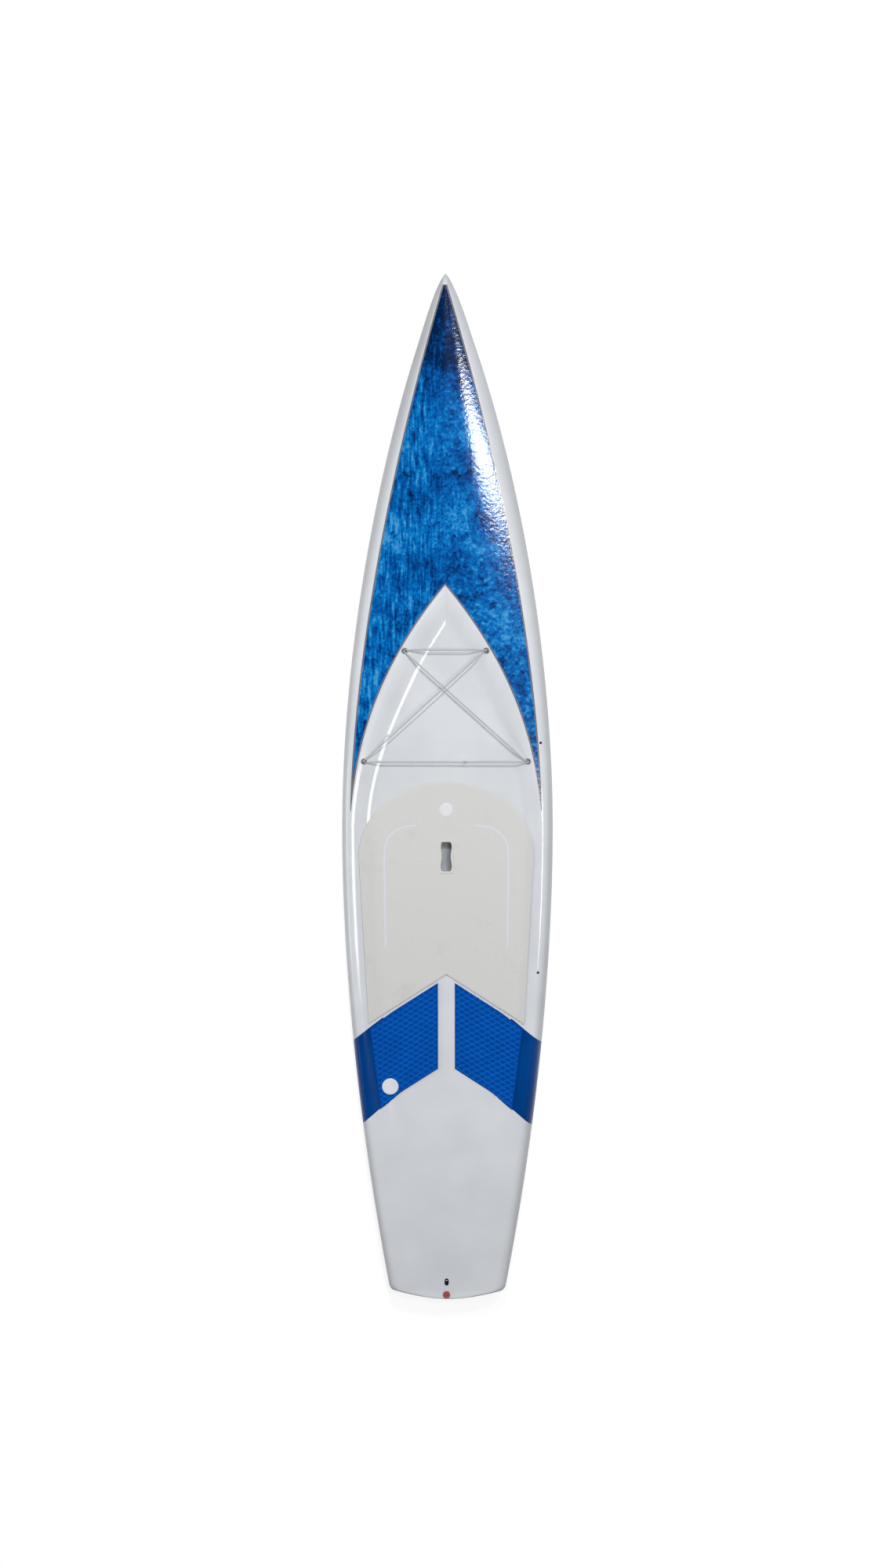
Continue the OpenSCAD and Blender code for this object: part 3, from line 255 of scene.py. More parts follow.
# rings for a hole: points of a unit square's edge are carried to the hole's edge
def roundRing(r):
    def ring(su, sv):
        onSide = np.abs(su) >= np.abs(sv)
        a = np.where(onSide, sv, su) * math.pi / 4
        x = np.where(onSide, np.sign(su) * np.cos(a), np.sin(a))
        y = np.where(onSide, np.sin(a), np.sign(sv) * np.cos(a))
        return r * x, r * y
    return ring


def slotRing(halfX, halfY):
    def ring(su, sv):
        onSide = np.abs(su) >= np.abs(sv)
        a = su * math.pi / 2
        x = np.where(onSide, np.sign(su) * halfX, halfX * np.sin(a))
        y = np.where(onSide, sv * (halfY - halfX), np.sign(sv) * (halfY - halfX + halfX * np.cos(a)))
        return x, y
    return ring


# the handle's outline: it widens from its waist by an eased step, and a high power rounds its corners
def waistOutline(a, endHalf, waistHalf, longHalf):
    k = np.abs(np.sin(a))
    power = fittings["handleCorner"]
    w = waistHalf + (endHalf - waistHalf) * ease(k / fittings["handleWaistRun"])
    corner = (1 - np.minimum(k, 1) ** power) ** (1 / power)
    return w * corner * np.sign(np.cos(a)), longHalf * np.sin(a)


def handleRing(margin):
    halves = [fittings[key] + margin for key in ("handleEnd", "handleWaist", "handleLong")]
    return lambda su, sv: waistOutline(np.arctan2(sv, su), *halves)


# opens a hole in a plan grid: a block of cells, so many rows and columns each way, goes, its edge is set
# on the ring, and the rows and columns around it ease back to their own places
def openHole(x, y, keep, centre, cells, ring, reach=1.5):
    i, j = np.unravel_index(np.argmin((x - centre[0]) ** 2 + (y - centre[1]) ** 2), x.shape)
    sv = (i - np.arange(x.shape[0])[:, None]) / cells[0] + 0 * x
    su = (np.arange(x.shape[1])[None, :] - j) / cells[1] + 0 * x
    c = np.maximum(np.abs(su), np.abs(sv))
    near = c < 1 + reach
    k = 1 - ease((c[near] - 1) / reach)
    out = np.maximum(c[near], tiny)
    ringX, ringY = ring(su[near] / out, sv[near] / out)
    x[near] = x[near] + (centre[0] + ringX - x[near]) * k
    y[near] = y[near] + (centre[1] + ringY - y[near]) * k
    inner = c <= 1.0001
    keep &= ~(inner[:-1, :-1] & inner[1:, :-1] & inner[:-1, 1:] & inner[1:, 1:])
    return c


# sRGB hex to linear colour
def linear(hexText):
    c = np.array([int(hexText[k:k + 2], 16) for k in (1, 3, 5)]) / 255
    c = np.where(c <= 0.04045, c / 12.92, ((c + 0.055) / 1.055) ** 2.4)
    return (*c.tolist(), 1.0)


# adds a node: settings by name, stops for a ramp, inputs as values, sockets or nodes (their first output);
# inputs 0 to 4 of a Map Range are value, from and to; a Mix has numbers as 2 and 3, or colours as 6 and 7
def addNode(tree, kind, inputs=None, stops=None, **settings):
    node = tree.nodes.new("ShaderNode" + kind)
    for key, value in settings.items():
        setattr(node, key, value)
    for key, value in (inputs or {}).items():
        if isinstance(value, bpy.types.Node):
            value = value.outputs[0]
        if isinstance(value, bpy.types.NodeSocket):
            tree.links.new(value, node.inputs[key])
        else:
            node.inputs[key].default_value = value
    for k, (place, colour) in enumerate(stops or []):
        points = node.color_ramp.elements
        point = points[k] if k < len(points) else points.new(place)
        point.position = place
        point.color = colour
    return node


# a new material, its empty node tree and the place on its piece
def newMaterial(name):
    material = bpy.data.materials.new(name)
    material.use_nodes = True
    tree = material.node_tree
    tree.nodes.clear()
    return material, tree, addNode(tree, "TexCoord").outputs["Object"]


# ends a material: bump is its strength, distance in metres and height, rough the inputs of a Map Range
def closeMaterial(tree, bump, rough, **inputs):
    normal = addNode(tree, "Bump", dict(zip(("Strength", "Distance", "Height"), bump)))
    roughness = addNode(tree, "MapRange", rough)
    named = {key.replace("_", " "): value for key, value in inputs.items()}
    surface = addNode(tree, "BsdfPrincipled", {"Normal": normal, "Roughness": roughness, **named})
    addNode(tree, "OutputMaterial", {"Surface": surface})


# noise scale in metres for a pattern's size in mm
def perMetre(sizeInMm):
    return 1000.0 / sizeInMm


# Epoxy-glass laminate, sprayed: a cool white, glossy under its clear coat where the gloss attribute is 1,
# which is the dish up to its crest, and satin on the rails and the bottom, with faint orange peel.
# The rails beside the tail pads carry a smooth dark blue spray, its edge given by the band attribute.
laminate = dict(
    low="#DCDFE4", high="#E3E6EA", bandLow="#003A80", bandHigh="#00458F", coat=1.0, satinCoat=0.1,
    cloud=180, peel=7, crestOver=25.0, crestFade=12.0,
    archEnds=(1750.0, 150.0), archSatin=(65.0, 30.0), tailSatin=(2450.0, 300.0),
)


def sprayedLaminate():
    d = laminate
    material, tree, place = newMaterial("sprayedEpoxyLaminate")
    cloud = addNode(tree, "TexNoise", {"Vector": place, "Scale": perMetre(d["cloud"]), "Detail": 4.0})
    white, blue = (addNode(tree, "ValToRGB", {0: cloud}, [(0.35, linear(d[low])), (0.65, linear(d[high]))])
                   for low, high in (("low", "high"), ("bandLow", "bandHigh")))
    band = addNode(tree, "Attribute", attribute_name="band")
    inBand = addNode(tree, "MapRange", {0: band.outputs["Fac"], 1: 0.1, 2: 0.9})
    colour = addNode(tree, "Mix", {0: inBand, 6: white, 7: blue}, data_type="RGBA")
    shine = addNode(tree, "Attribute", attribute_name="gloss")
    coat = addNode(tree, "MapRange", {0: shine.outputs["Fac"], 3: d["satinCoat"], 4: d["coat"]})
    # orange peel is about 2 mm across, drawn at 7 mm so that it shows
    peel = addNode(tree, "TexNoise", {"Vector": place, "Scale": perMetre(d["peel"]), "Detail": 2.0})
    closeMaterial(tree, Base_Color=colour.outputs[2], rough={0: cloud, 3: 0.26, 4: 0.34},
            bump=(0.06, 0.0006, peel), Specular_IOR_Level=0.05, Coat_Weight=coat, Coat_Roughness=0.05)
    return material


# Printed cloth under clear lacquer: deep water blues, long brush streaks and dark blots, with a grey
# pinline along its edges, given by the edgeRun attribute in mm. Pattern sizes are in mm, places in metres.
nosePrint = dict(
    blues=["#00204A", "#003F84", "#0054A0", "#0066B6", "#0A80CC", "#4AA0D6"],
    tones=(0.12, 0.32, 0.46, 0.58, 0.74, 0.95), pinline="#7C7A84", pinWidth=6,
    patch=150, streak=(11, 80), ripple=22, blot=38, weave=12,
    patchGain=1.2, level=-1.16, fineGain=1.6, speckGain=0.7, blotDark=0.5, tipDark=0.5,
    crossing=(-0.09, 0.06), tipRun=(1.35, 1.8), endY=1.860,
)


def lacqueredPrint():
    d = nosePrint
    material, tree, place = newMaterial("lacqueredPrintedCloth")
    patch = addNode(tree, "TexNoise", {"Vector": place, "Scale": perMetre(d["patch"]), "Detail": 5.0,
            "Roughness": 0.6})
    wide, long = d["streak"]
    lengthen = addNode(tree, "Mapping", {"Vector": place, "Scale": (perMetre(wide), perMetre(long), 1.0)})
    streak = addNode(tree, "TexNoise", {"Vector": lengthen, "Scale": 1.0, "Detail": 4.0, "Roughness": 0.65})
    ripple = addNode(tree, "TexNoise", {"Vector": place, "Scale": perMetre(d["ripple"]), "Detail": 5.0,
            "Roughness": 0.7, "Distortion": 0.6})
    blot = addNode(tree, "TexNoise", {"Vector": place, "Scale": perMetre(d["blot"]), "Detail": 8.0,
            "Roughness": 0.8})
    # the weave under the lacquer is about 1 mm, drawn at 12 mm; it specks the print and breaks up highlights
    weave = addNode(tree, "TexNoise", {"Vector": place, "Scale": perMetre(d["weave"]), "Detail": 2.0})
    # streaks on the left, ripples on the right, crossing over near the middle
    axes = addNode(tree, "SeparateXYZ", {0: place})
    side = addNode(tree, "MapRange", {0: axes.outputs[0], 1: d["crossing"][0], 2: d["crossing"][1]},
            interpolation_type="SMOOTHSTEP")
    fine = addNode(tree, "Mix", {0: side, 2: streak, 3: ripple})
    # the tone: patches, fine pattern and specks added up, less the blots and the dark tip
    tone = d["level"]
    for pattern, gain in ((patch, d["patchGain"]), (fine, d["fineGain"]), (weave, d["speckGain"])):
        tone = addNode(tree, "Math", {0: pattern, 1: gain, 2: tone}, operation="MULTIPLY_ADD")
    dark = addNode(tree, "MapRange", {0: blot, 1: 0.46, 2: 0.32, 3: 0.0, 4: d["blotDark"]})
    tip = addNode(tree, "MapRange", {0: axes.outputs[1], 1: d["tipRun"][0], 2: d["tipRun"][1], 3: 0.0,
            4: d["tipDark"]}, interpolation_type="SMOOTHSTEP")
    for less in (dark, tip):
        tone = addNode(tree, "Math", {0: tone, 1: less}, operation="SUBTRACT")
    blues = addNode(tree, "ValToRGB", {0: tone}, [(p, linear(c)) for p, c in zip(d["tones"], d["blues"])])
    edgeRun = addNode(tree, "Attribute", attribute_name="edgeRun")
    pin = d["pinWidth"]
    inside = addNode(tree, "MapRange", {0: edgeRun.outputs["Fac"], 1: pin - 0.5, 2: pin + 0.5})
    lined = addNode(tree, "Mix", {0: inside, 6: linear(d["pinline"]), 7: blues}, data_type="RGBA")
    # the cloth ends a little behind the tip, which is plain laminate
    bare = addNode(tree, "MapRange", {0: axes.outputs[1], 1: d["endY"] - mm, 2: d["endY"] + mm})
    colour = addNode(tree, "Mix", {0: bare, 6: lined.outputs[2], 7: linear(laminate["high"])},
            data_type="RGBA")
    grit = addNode(tree, "Bump", {"Strength": 0.45, "Distance": 0.001, "Height": weave})
    closeMaterial(tree, Base_Color=colour.outputs[2], rough={0: ripple, 1: 0.3, 2: 0.7, 3: 0.2, 4: 0.34},
            bump=(0.1, 0.0005, ripple), Specular_IOR_Level=0.0, Coat_Weight=1.0, Coat_Roughness=0.12,
            Coat_Normal=grit)
    return material


# Closed-cell EVA sheet, skived smooth: matt warm grey with fine cells, a few scuffs and pale guide lines.
beigeFoam = dict(low="#D4D4D2", high="#DEDEDB", worn="#B9B3A8", guide="#DDE2EA", guideHalf=3.4,
                 cell=3.5, scuff=90)


def skivedBeigeFoam():
    d = beigeFoam
    material, tree, place = newMaterial("skivedBeigeEva")
    # cells are under 1 mm, drawn at 3.5 mm so that they show
    cell = addNode(tree, "TexNoise", {"Vector": place, "Scale": perMetre(d["cell"]), "Detail": 3.0})
    sheet = addNode(tree, "ValToRGB", {0: cell}, [(0.25, linear(d["low"])), (0.75, linear(d["high"]))])
    scuff = addNode(tree, "TexNoise", {"Vector": place, "Scale": perMetre(d["scuff"]), "Detail": 6.0,
            "Roughness": 0.65})
    worn = addNode(tree, "MapRange", {0: scuff, 1: 0.58, 2: 0.78, 3: 0.0, 4: 0.22})
    used = addNode(tree, "Mix", {0: worn, 6: sheet, 7: linear(d["worn"])}, data_type="RGBA")
    guide = addNode(tree, "Attribute", attribute_name="guide")
    half = d["guideHalf"]
    onLine = addNode(tree, "MapRange", {0: guide.outputs["Fac"], 1: half + 0.5, 2: half - 0.5})
    colour = addNode(tree, "Mix", {0: onLine, 6: used.outputs[2], 7: linear(d["guide"])}, data_type="RGBA")
    closeMaterial(tree, Base_Color=colour.outputs[2], rough={0: cell, 3: 0.78, 4: 0.92},
            bump=(0.25, 0.0006, cell), Specular_IOR_Level=0.2)
    return material


# The same sheet in blue, embossed with diamonds: the pressed lines between them are a lighter blue than the
# faces, a painted highlight on the groove edges, and cells drawn at 3 mm so that they show.
blueFoam = dict(face="#0048A4", line="#0C6ACC", cell=3.0, cloud=70)


def embossedBlueFoam():
    d = blueFoam
    material, tree, place = newMaterial("embossedBlueEva")
    cell = addNode(tree, "TexNoise", {"Vector": place, "Scale": perMetre(d["cell"]), "Detail": 3.0})
    cloud = addNode(tree, "TexNoise", {"Vector": place, "Scale": perMetre(d["cloud"]), "Detail": 3.0})
    pressed = addNode(tree, "Attribute", attribute_name="pressed")
    # the pressed lines get the lighter blue: a painted highlight along the grooves
    tintWithPaintedHighlight = addNode(tree, "Mix", {0: pressed.outputs["Fac"], 6: linear(d["face"]), 7: linear(d["line"])},
            data_type="RGBA")
    shade = addNode(tree, "MapRange", {0: cloud, 1: 0.3, 2: 0.7, 3: 0.92, 4: 1.06})
    colour = addNode(tree, "VectorMath", {0: tintWithPaintedHighlight.outputs[2], "Scale": shade}, operation="SCALE")
    closeMaterial(tree, Base_Color=colour, rough={0: cell, 3: 0.6, 4: 0.78}, bump=(0.2, 0.0005, cell),
            Specular_IOR_Level=0.03)
    return material


# Moulded ABS in grey with a fine spark-eroded texture; where the rim attribute is 1 it wears a cream rim.
# the cup's two tones are a lighter copy of the same grey: painted light that lifts the shade inside the deep
# handle cup
greyAbs = dict(low="#8C9298", high="#9AA0A6", cupLitLow="#9CA2A7", cupLitHigh="#A7ADB2", rim="#D9D8D3", grain=2.5)


def mouldedGreyAbs(name, low, high):
    material, tree, place = newMaterial(name)
    grain = addNode(tree, "TexNoise", {"Vector": place, "Scale": perMetre(greyAbs["grain"]), "Detail": 3.0})
    grey = addNode(tree, "ValToRGB", {0: grain}, [(0.3, linear(low)), (0.7, linear(high))])
    rim = addNode(tree, "Attribute", attribute_name="rim")
    colour = addNode(tree, "Mix", {0: rim.outputs["Fac"], 6: grey, 7: linear(greyAbs["rim"])},
            data_type="RGBA")
    closeMaterial(tree, Base_Color=colour.outputs[2], rough={0: grain, 3: 0.4, 4: 0.52},
            bump=(0.12, 0.0003, grain))
    return material


# One recipe for the small mouldings, metals, foams and wood: two tones over a grain, its size in mm.
def grainedStuff(name, low, high, grainSize, rough, metallic=0.0, stretch=(1, 1, 1)):
    material, tree, place = newMaterial(name)
    scale = [perMetre(grainSize) / s for s in stretch]
    spread = addNode(tree, "Mapping", {"Vector": place, "Scale": scale})
    grain = addNode(tree, "TexNoise", {"Vector": spread, "Scale": 1.0, "Detail": 4.0})
    colour = addNode(tree, "ValToRGB", {0: grain}, [(0.3, linear(low)), (0.7, linear(high))])
    closeMaterial(tree, Base_Color=colour, rough={0: grain, 1: 0.3, 2: 0.7, 3: rough - 0.06,
            4: rough + 0.06}, bump=(0.12, 0.0003, grain), Metallic=metallic)
    return material


# Braided polyester sleeve over rubber: two crossing runs of pale yarn, soft and shaded between the yarns.
braid = dict(yarn="#C6CACD", between="#8B9094", yarnStep=2.4, slant=0.9)


def braidedSleeve():
    material, tree, _ = newMaterial("braidedPolyesterSleeve")
    place = addNode(tree, "UVMap", uv_map="sleeve")
    waves = []
    for turn in (braid["slant"], -braid["slant"]):
        slant = addNode(tree, "Mapping", {"Vector": place, "Rotation": (0, 0, turn)})
        waves.append(addNode(tree, "TexWave", {"Vector": slant, "Scale": 0.5 / braid["yarnStep"]},
                wave_type="BANDS", bands_direction="X"))
    yarn = addNode(tree, "Math", {0: waves[0].outputs[1], 1: waves[1].outputs[1]}, operation="MAXIMUM")
    tones = [(0.1, linear(braid["between"])), (0.7, linear(braid["yarn"]))]
    colour = addNode(tree, "ValToRGB", {0: yarn}, tones)
    closeMaterial(tree, Base_Color=colour, rough={0: yarn, 3: 0.9, 4: 0.7}, bump=(0.5, 0.0004, yarn),
            Sheen_Weight=0.2)
    return material


laminateSkin = sprayedLaminate()
printSkin = lacqueredPrint()
beigeEva = skivedBeigeFoam()
blueEva = embossedBlueFoam()
greyMoulding = mouldedGreyAbs("mouldedGreyAbs", greyAbs["low"], greyAbs["high"])
# the handle cup's copy of the grey is lighter, painted light against the shade in its recess
cupMouldingLitInRecess = mouldedGreyAbs("mouldedGreyAbsLitInCup", greyAbs["cupLitLow"], greyAbs["cupLitHigh"])
sleeve = braidedSleeve()
discVinyl = grainedStuff("mattWhiteVinyl", "#E2E5E9", "#EAECEF", 4, 0.45)  # even, a little satin
print("finishes ready")


# camera: straight down on the deck from a little to the right, with a long lens; metres and degrees
shot = dict(lens=85.0, sensor=36.0, frameHeight=5.844, lean=4.0, aim=(-0.0225, 0.0146, 0.085), clipEnd=200.0)
lens = bpy.data.cameras.new("photoCamera")
lens.lens = shot["lens"]
lens.sensor_width = shot["sensor"]
lens.sensor_fit = "AUTO"
lens.clip_end = shot["clipEnd"]
photoCamera = bpy.data.objects.new("photoCamera", lens)
bpy.context.scene.collection.objects.link(photoCamera)
away = shot["lens"] / shot["sensor"] * shot["frameHeight"]
lean = math.radians(shot["lean"])
aimX, aimY, aimZ = shot["aim"]
photoCamera.location = (aimX + away * math.sin(lean), aimY, aimZ + away * math.cos(lean))
photoCamera.rotation_euler = (0, lean, 0)
bpy.context.scene.camera = photoCamera


# grid of the hull skins: rows from nose to tail, and columns from the middle line to the rail
hullGrid = dict(
    stemRows=100, archRows=60, archEnd=1600.0, archSpread=1.5, middleRows=190, tailRows=40,
    floorColumns=16, wallColumns=14, panelColumns=16, railColumns=14, wallShare=0.75,
    flatColumns=20, roundColumns=16, skin=2.8,
)


# hull rows: close at the stem, behind the arch point and along the bowed tail edge
def hullRows():
    g = hullGrid
    point = hull["archFromNose"]
    stem = point * (1 - np.cos(math.pi / 2 * np.arange(g["stemRows"]) / g["stemRows"]))
    arch = point + (g["archEnd"] - point) * (np.arange(g["archRows"]) / g["archRows"]) ** g["archSpread"]
    middle = np.linspace(g["archEnd"], hull["length"] - hull["tailBow"], g["middleRows"], endpoint=False)
    back = np.arange(g["tailRows"], -1, -1) / g["tailRows"]
    tail = hull["length"] - hull["tailBow"] * back ** hull["tailBowCurve"]
    return halfLength - np.concatenate([stem, arch, middle, tail])[:, None]


# the columns of one side and their mirror image
def bothSides(half):
    return np.concatenate([-half[:, :0:-1], half], axis=1)


# even shares of a width, without its end
def evenSteps(count):
    return np.arange(count)[None, :] / count


# shares of a rounded width, closer towards its end, with the end
def quarterSteps(count):
    return np.sin(math.pi / 2 * np.arange(count + 1)[None, :] / count)


# rail spray: inner half-width, and for each raked end the distance from the nose, half-width, rake, cosine
railSpray = dict(inner=230.0, front=(2795.0, 285.0, 0.78, 0.79), rear=(3099.0, 247.0, 0.857, 0.76),
                 reach=20.0)


# how far inside the spray a point is: the least way to its inner line and two ends
def insideSpray(x, s):
    frontS, frontX, frontRake, frontCos = railSpray["front"]
    rearS, rearX, rearRake, rearCos = railSpray["rear"]
    behind = frontCos * (s - frontS - frontRake * (x - frontX))
    ahead = rearCos * (rearS + rearRake * (x - rearX) - s)
    inside = np.minimum(np.minimum(x - railSpray["inner"], behind), ahead)
    return np.clip(inside, -railSpray["reach"], railSpray["reach"])


# deck skin: columns follow the dish floor, its wall, the nose panel and the rail
def makeDeckSkin():
    f, g, d = fittings, hullGrid, laminate
    rows = hullRows()
    h, b, w = dishHalf(rows), deckLine(rows), outlineHalf(rows)
    # where the wall would fill the dish, the floor still keeps a share of it
    wall = np.minimum(wallWidth(rows), g["wallShare"] * h)
    half = np.concatenate([
        (h - wall) * evenSteps(g["floorColumns"]), h - wall + wall * evenSteps(g["wallColumns"]),
        h + (b - h) * evenSteps(g["panelColumns"]), b + (w - b) * quarterSteps(g["railColumns"]),
    ], axis=1)
    x = bothSides(half)
    y = rows + 0 * x
    keep = np.ones((x.shape[0] - 1, x.shape[1] - 1), dtype=bool)
    for sign in (-1, 1):
        for plugX, plugY in (f["frontPlug"], f["rearPlug"]):
            openHole(x, y, keep, (sign * plugX, plugY), (1, 1), roundRing(f["plugHole"]))
    for strapY in f["strapY"]:
        strapX = float(outlineHalf(np.float64(strapY))) - f["strapIn"]
        openHole(x, y, keep, (strapX, strapY), (1, 1), roundRing(f["strapHole"]), 2.0)
    openHole(x, y, keep, (0, f["leashY"]), (1, 3), slotRing(*f["leashSlot"]), 1.0)
    openHole(x, y, keep, (0, f["ventY"]), (7, 4), roundRing(f["ventHole"]), 1.0)
    openHole(x, y, keep, (0, f["handleY"]), (5, 2), handleRing(f["handleRim"] - f["rimSeat"]), 1.0)
    points = np.stack([x, y, deckZ(x, y)], axis=-1)
    faces = gridFaces(*x.shape)[keep.ravel()][:, ::-1]
    # the clear coat runs over the crest of the dish, but is rubbed satin beside the arch and towards the tail
    side = np.abs(x)
    shine = share((b + d["crestOver"] - side) / d["crestFade"])
    before, run = d["archSatin"]
    besideArch = (1 - easeAlong(y, d["archEnds"])) * ease((side - h + before) / run)
    shine = shine * (1 - besideArch) * (1 - easeAlong(y, d["tailSatin"]))
    values = {"band": insideSpray(side, halfLength - y), "gloss": shine}
    return giveWall(makePiece("deckSkin", points, faces, laminateSkin, values), g["skin"])


# bottom skin: columns follow the flat and the rail rounding, with a slot for the fin box
def makeBottomSkin():
    f, g = fittings, hullGrid
    rows = hullRows()
    w = outlineHalf(rows)
    flat = w - bottomRounding(rows)
    bend = quarterSteps(g["roundColumns"])
    half = np.concatenate([flat * evenSteps(g["flatColumns"]), flat + (w - flat) * bend], axis=1)
    x = bothSides(half)
    y = rows + 0 * x
    keep = np.ones((x.shape[0] - 1, x.shape[1] - 1), dtype=bool)
    openHole(x, y, keep, (0, f["finY"]), (11, 1), slotRing(*f["finSlot"]), 0.8)
    points = np.stack([x, y, bottomZ(x, y)], axis=-1)
    faces = gridFaces(*x.shape)[keep.ravel()]
    return giveWall(makePiece("bottomSkin", points, faces, laminateSkin), g["skin"])


panelSizes = dict(
    front=17.0, tails=1990.0, rows=130, frontSpread=1.15, rearSpread=1.2, columns=28,
    lift=0.55, thick=0.45, steepest=3.0, far=99.0,
)


# printed panel: each side runs from the arch (or the middle line) to the deck line, down to the sharp tails
def makeNosePanel():
    d = panelSizes
    point = hull["archFromNose"]
    along = np.arange(d["rows"] + 1) / d["rows"]
    s = np.concatenate([d["front"] + (point - d["front"]) * along[:-1] ** d["frontSpread"],
                        point + (d["tails"] - point) * along ** d["rearSpread"]])
    rows = halfLength - s[:, None]
    a, b = dishHalf(rows), deckLine(rows)
    half = a + (b - a) * (np.arange(d["columns"] + 1)[None, :] / d["columns"])
    # the way to the deck line and to the arch, square to them
    slope = np.gradient(b[:, 0], s)[:, None]
    toLine = (b - half) / np.sqrt(1 + slope ** 2)
    archSlope = np.minimum(np.gradient(a[:, 0], s)[:, None], d["steepest"])
    toArch = np.where(a > 0, (half - a) / np.sqrt(1 + archSlope ** 2), d["far"])
    # ahead of the arch point the way to it counts, so that the line turns the corner
    ahead = np.maximum(0, rows - (halfLength - point))
    toPoint = np.where(a > 0, d["far"], np.sqrt(half ** 2 + ahead ** 2))
    edgeRun = np.minimum(np.minimum(toLine, toArch), toPoint).ravel()
    z = deckZ(half, rows + 0 * half) + d["lift"]
    right = np.stack([half, rows + 0 * half, z], axis=-1).reshape(-1, 3)
    quads = gridFaces(*half.shape)
    points = np.concatenate([right * (-1, 1, 1), right])
    faces = np.concatenate([quads, quads[:, ::-1] + half.size])
    values = {"edgeRun": np.concatenate([edgeRun, edgeRun])}
    return giveWall(makePiece("nosePanel", points, faces, printSkin, values, merge=0.01), d["thick"])


deckSkin = makeDeckSkin()
bottomSkin = makeBottomSkin()
nosePanel = makeNosePanel()
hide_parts("deck_shell")
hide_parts("bottom_shell")
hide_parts("nose_inlay")
print("hull skins ready")


# the way along rows and columns from a grid's own edges, in mm, smallest of the four
def wayFromEdges(x, y):
    across = np.hypot(np.diff(x, axis=1), np.diff(y, axis=1))
    along = np.hypot(np.diff(x, axis=0), np.diff(y, axis=0))
    left = np.pad(np.cumsum(across, axis=1), ((0, 0), (1, 0)))
    front = np.pad(np.cumsum(along, axis=0), ((1, 0), (0, 0)))
    return np.minimum(np.minimum(left, left[:, -1:] - left), np.minimum(front, front[-1:, :] - front))


# distance in the plan from every point to a broken line
def wayToLine(x, y, line):
    p = np.stack([x, y], axis=-1)[..., None, :]
    a = line[:-1]
    d = line[1:] - a
    t = share(((p - a) * d).sum(-1) / (d * d).sum(-1))
    return np.sqrt((((a + t[..., None] * d) - p) ** 2).sum(-1)).min(-1)


# sizes in mm; front, chevron and the guide's second numbers are distances from the nose
deckPadSizes = dict(
    front=1883.0, arc=272.0, half=325.5, rearHalf=289.0, chevron=2599.0, rake=0.636, rows=210, columns=160,
    glue=0.95, thick=5.0, edge=3.5, sideShare=0.55, wall=2.4,
    handleGap=0.4, handleEdge=0.6, handleSpread=20.0,
    guideDeep=0.7, guideOver=2.0, guideSlope=3.0, guideReach=30.0,
    guide=[(111.6, 2043.5), (152, 2047), (172, 2053), (190, 2063), (205, 2076), (217, 2092), (225, 2110),
           (230, 2132), (231.5, 2160), (230, 2335), (226.5, 2494)],
)


# deck pad: a half-oval front carried to a raked chevron, with a rolled edge and two guide grooves
def makeDeckPad():
    d, f = deckPadSizes, fittings
    u = (np.arange(d["rows"] + 1) / d["rows"])[:, None]
    v = np.sin(math.pi / 2 * np.linspace(-1, 1, d["columns"] + 1))[None, :]
    frontX = d["half"] * np.sin(math.pi / 2 * v)
    frontS = d["front"] + d["arc"] * (1 - np.cos(math.pi / 2 * v))
    rearX = d["rearHalf"] * v
    rearS = d["chevron"] + d["rake"] * d["rearHalf"] * np.abs(v)
    x = frontX + (rearX - frontX) * u
    y = halfLength - (frontS + (rearS - frontS) * u)
    inside = wayFromEdges(x, y)
    keep = np.ones((x.shape[0] - 1, x.shape[1] - 1), dtype=bool)
    c = openHole(x, y, keep, (0, f["handleY"]), (18, 7), handleRing(f["handleRim"] + d["handleGap"]), 1.2)
    inside = np.minimum(inside, d["handleSpread"] * np.maximum(0, c - 1) + d["handleEdge"])
    guide = wayToLine(np.abs(x), halfLength - y, np.array(d["guide"]))
    groove = d["guideDeep"] * ease((beigeFoam["guideHalf"] + d["guideOver"] - guide) / d["guideSlope"])
    rise = d["thick"] * (d["sideShare"] + (1 - d["sideShare"]) * roundEdge(inside / d["edge"], 2))
    points = np.stack([x, y, deckZ(x, y) + d["glue"] + rise - groove], axis=-1)
    faces = gridFaces(*x.shape)[keep.ravel()][:, ::-1]
    values = {"guide": np.minimum(guide, d["guideReach"])}
    return giveWall(makePiece("deckPad", points, faces, beigeEva, values), d["wall"])


# sizes in mm; front is a distance from the nose, and a diamond's two numbers are its width and length
tailPadSizes = dict(
    inner=31.5, frontOuter=285.0, rearOuter=246.0, front=2630.0, long=319.0, rake=0.636,
    rows=128, columns=104,
    sweepWidth=90.0, sweepFront=9.0, sweepRear=14.0, glue=0.95, thick=5.0, edge=2.5, sideShare=0.5, wall=2.2,
    diamond=(38.0, 21.0), skew=0.12, press=1.3, pressWidth=0.17, plainEdge=3.0, plainFade=4.0,
)


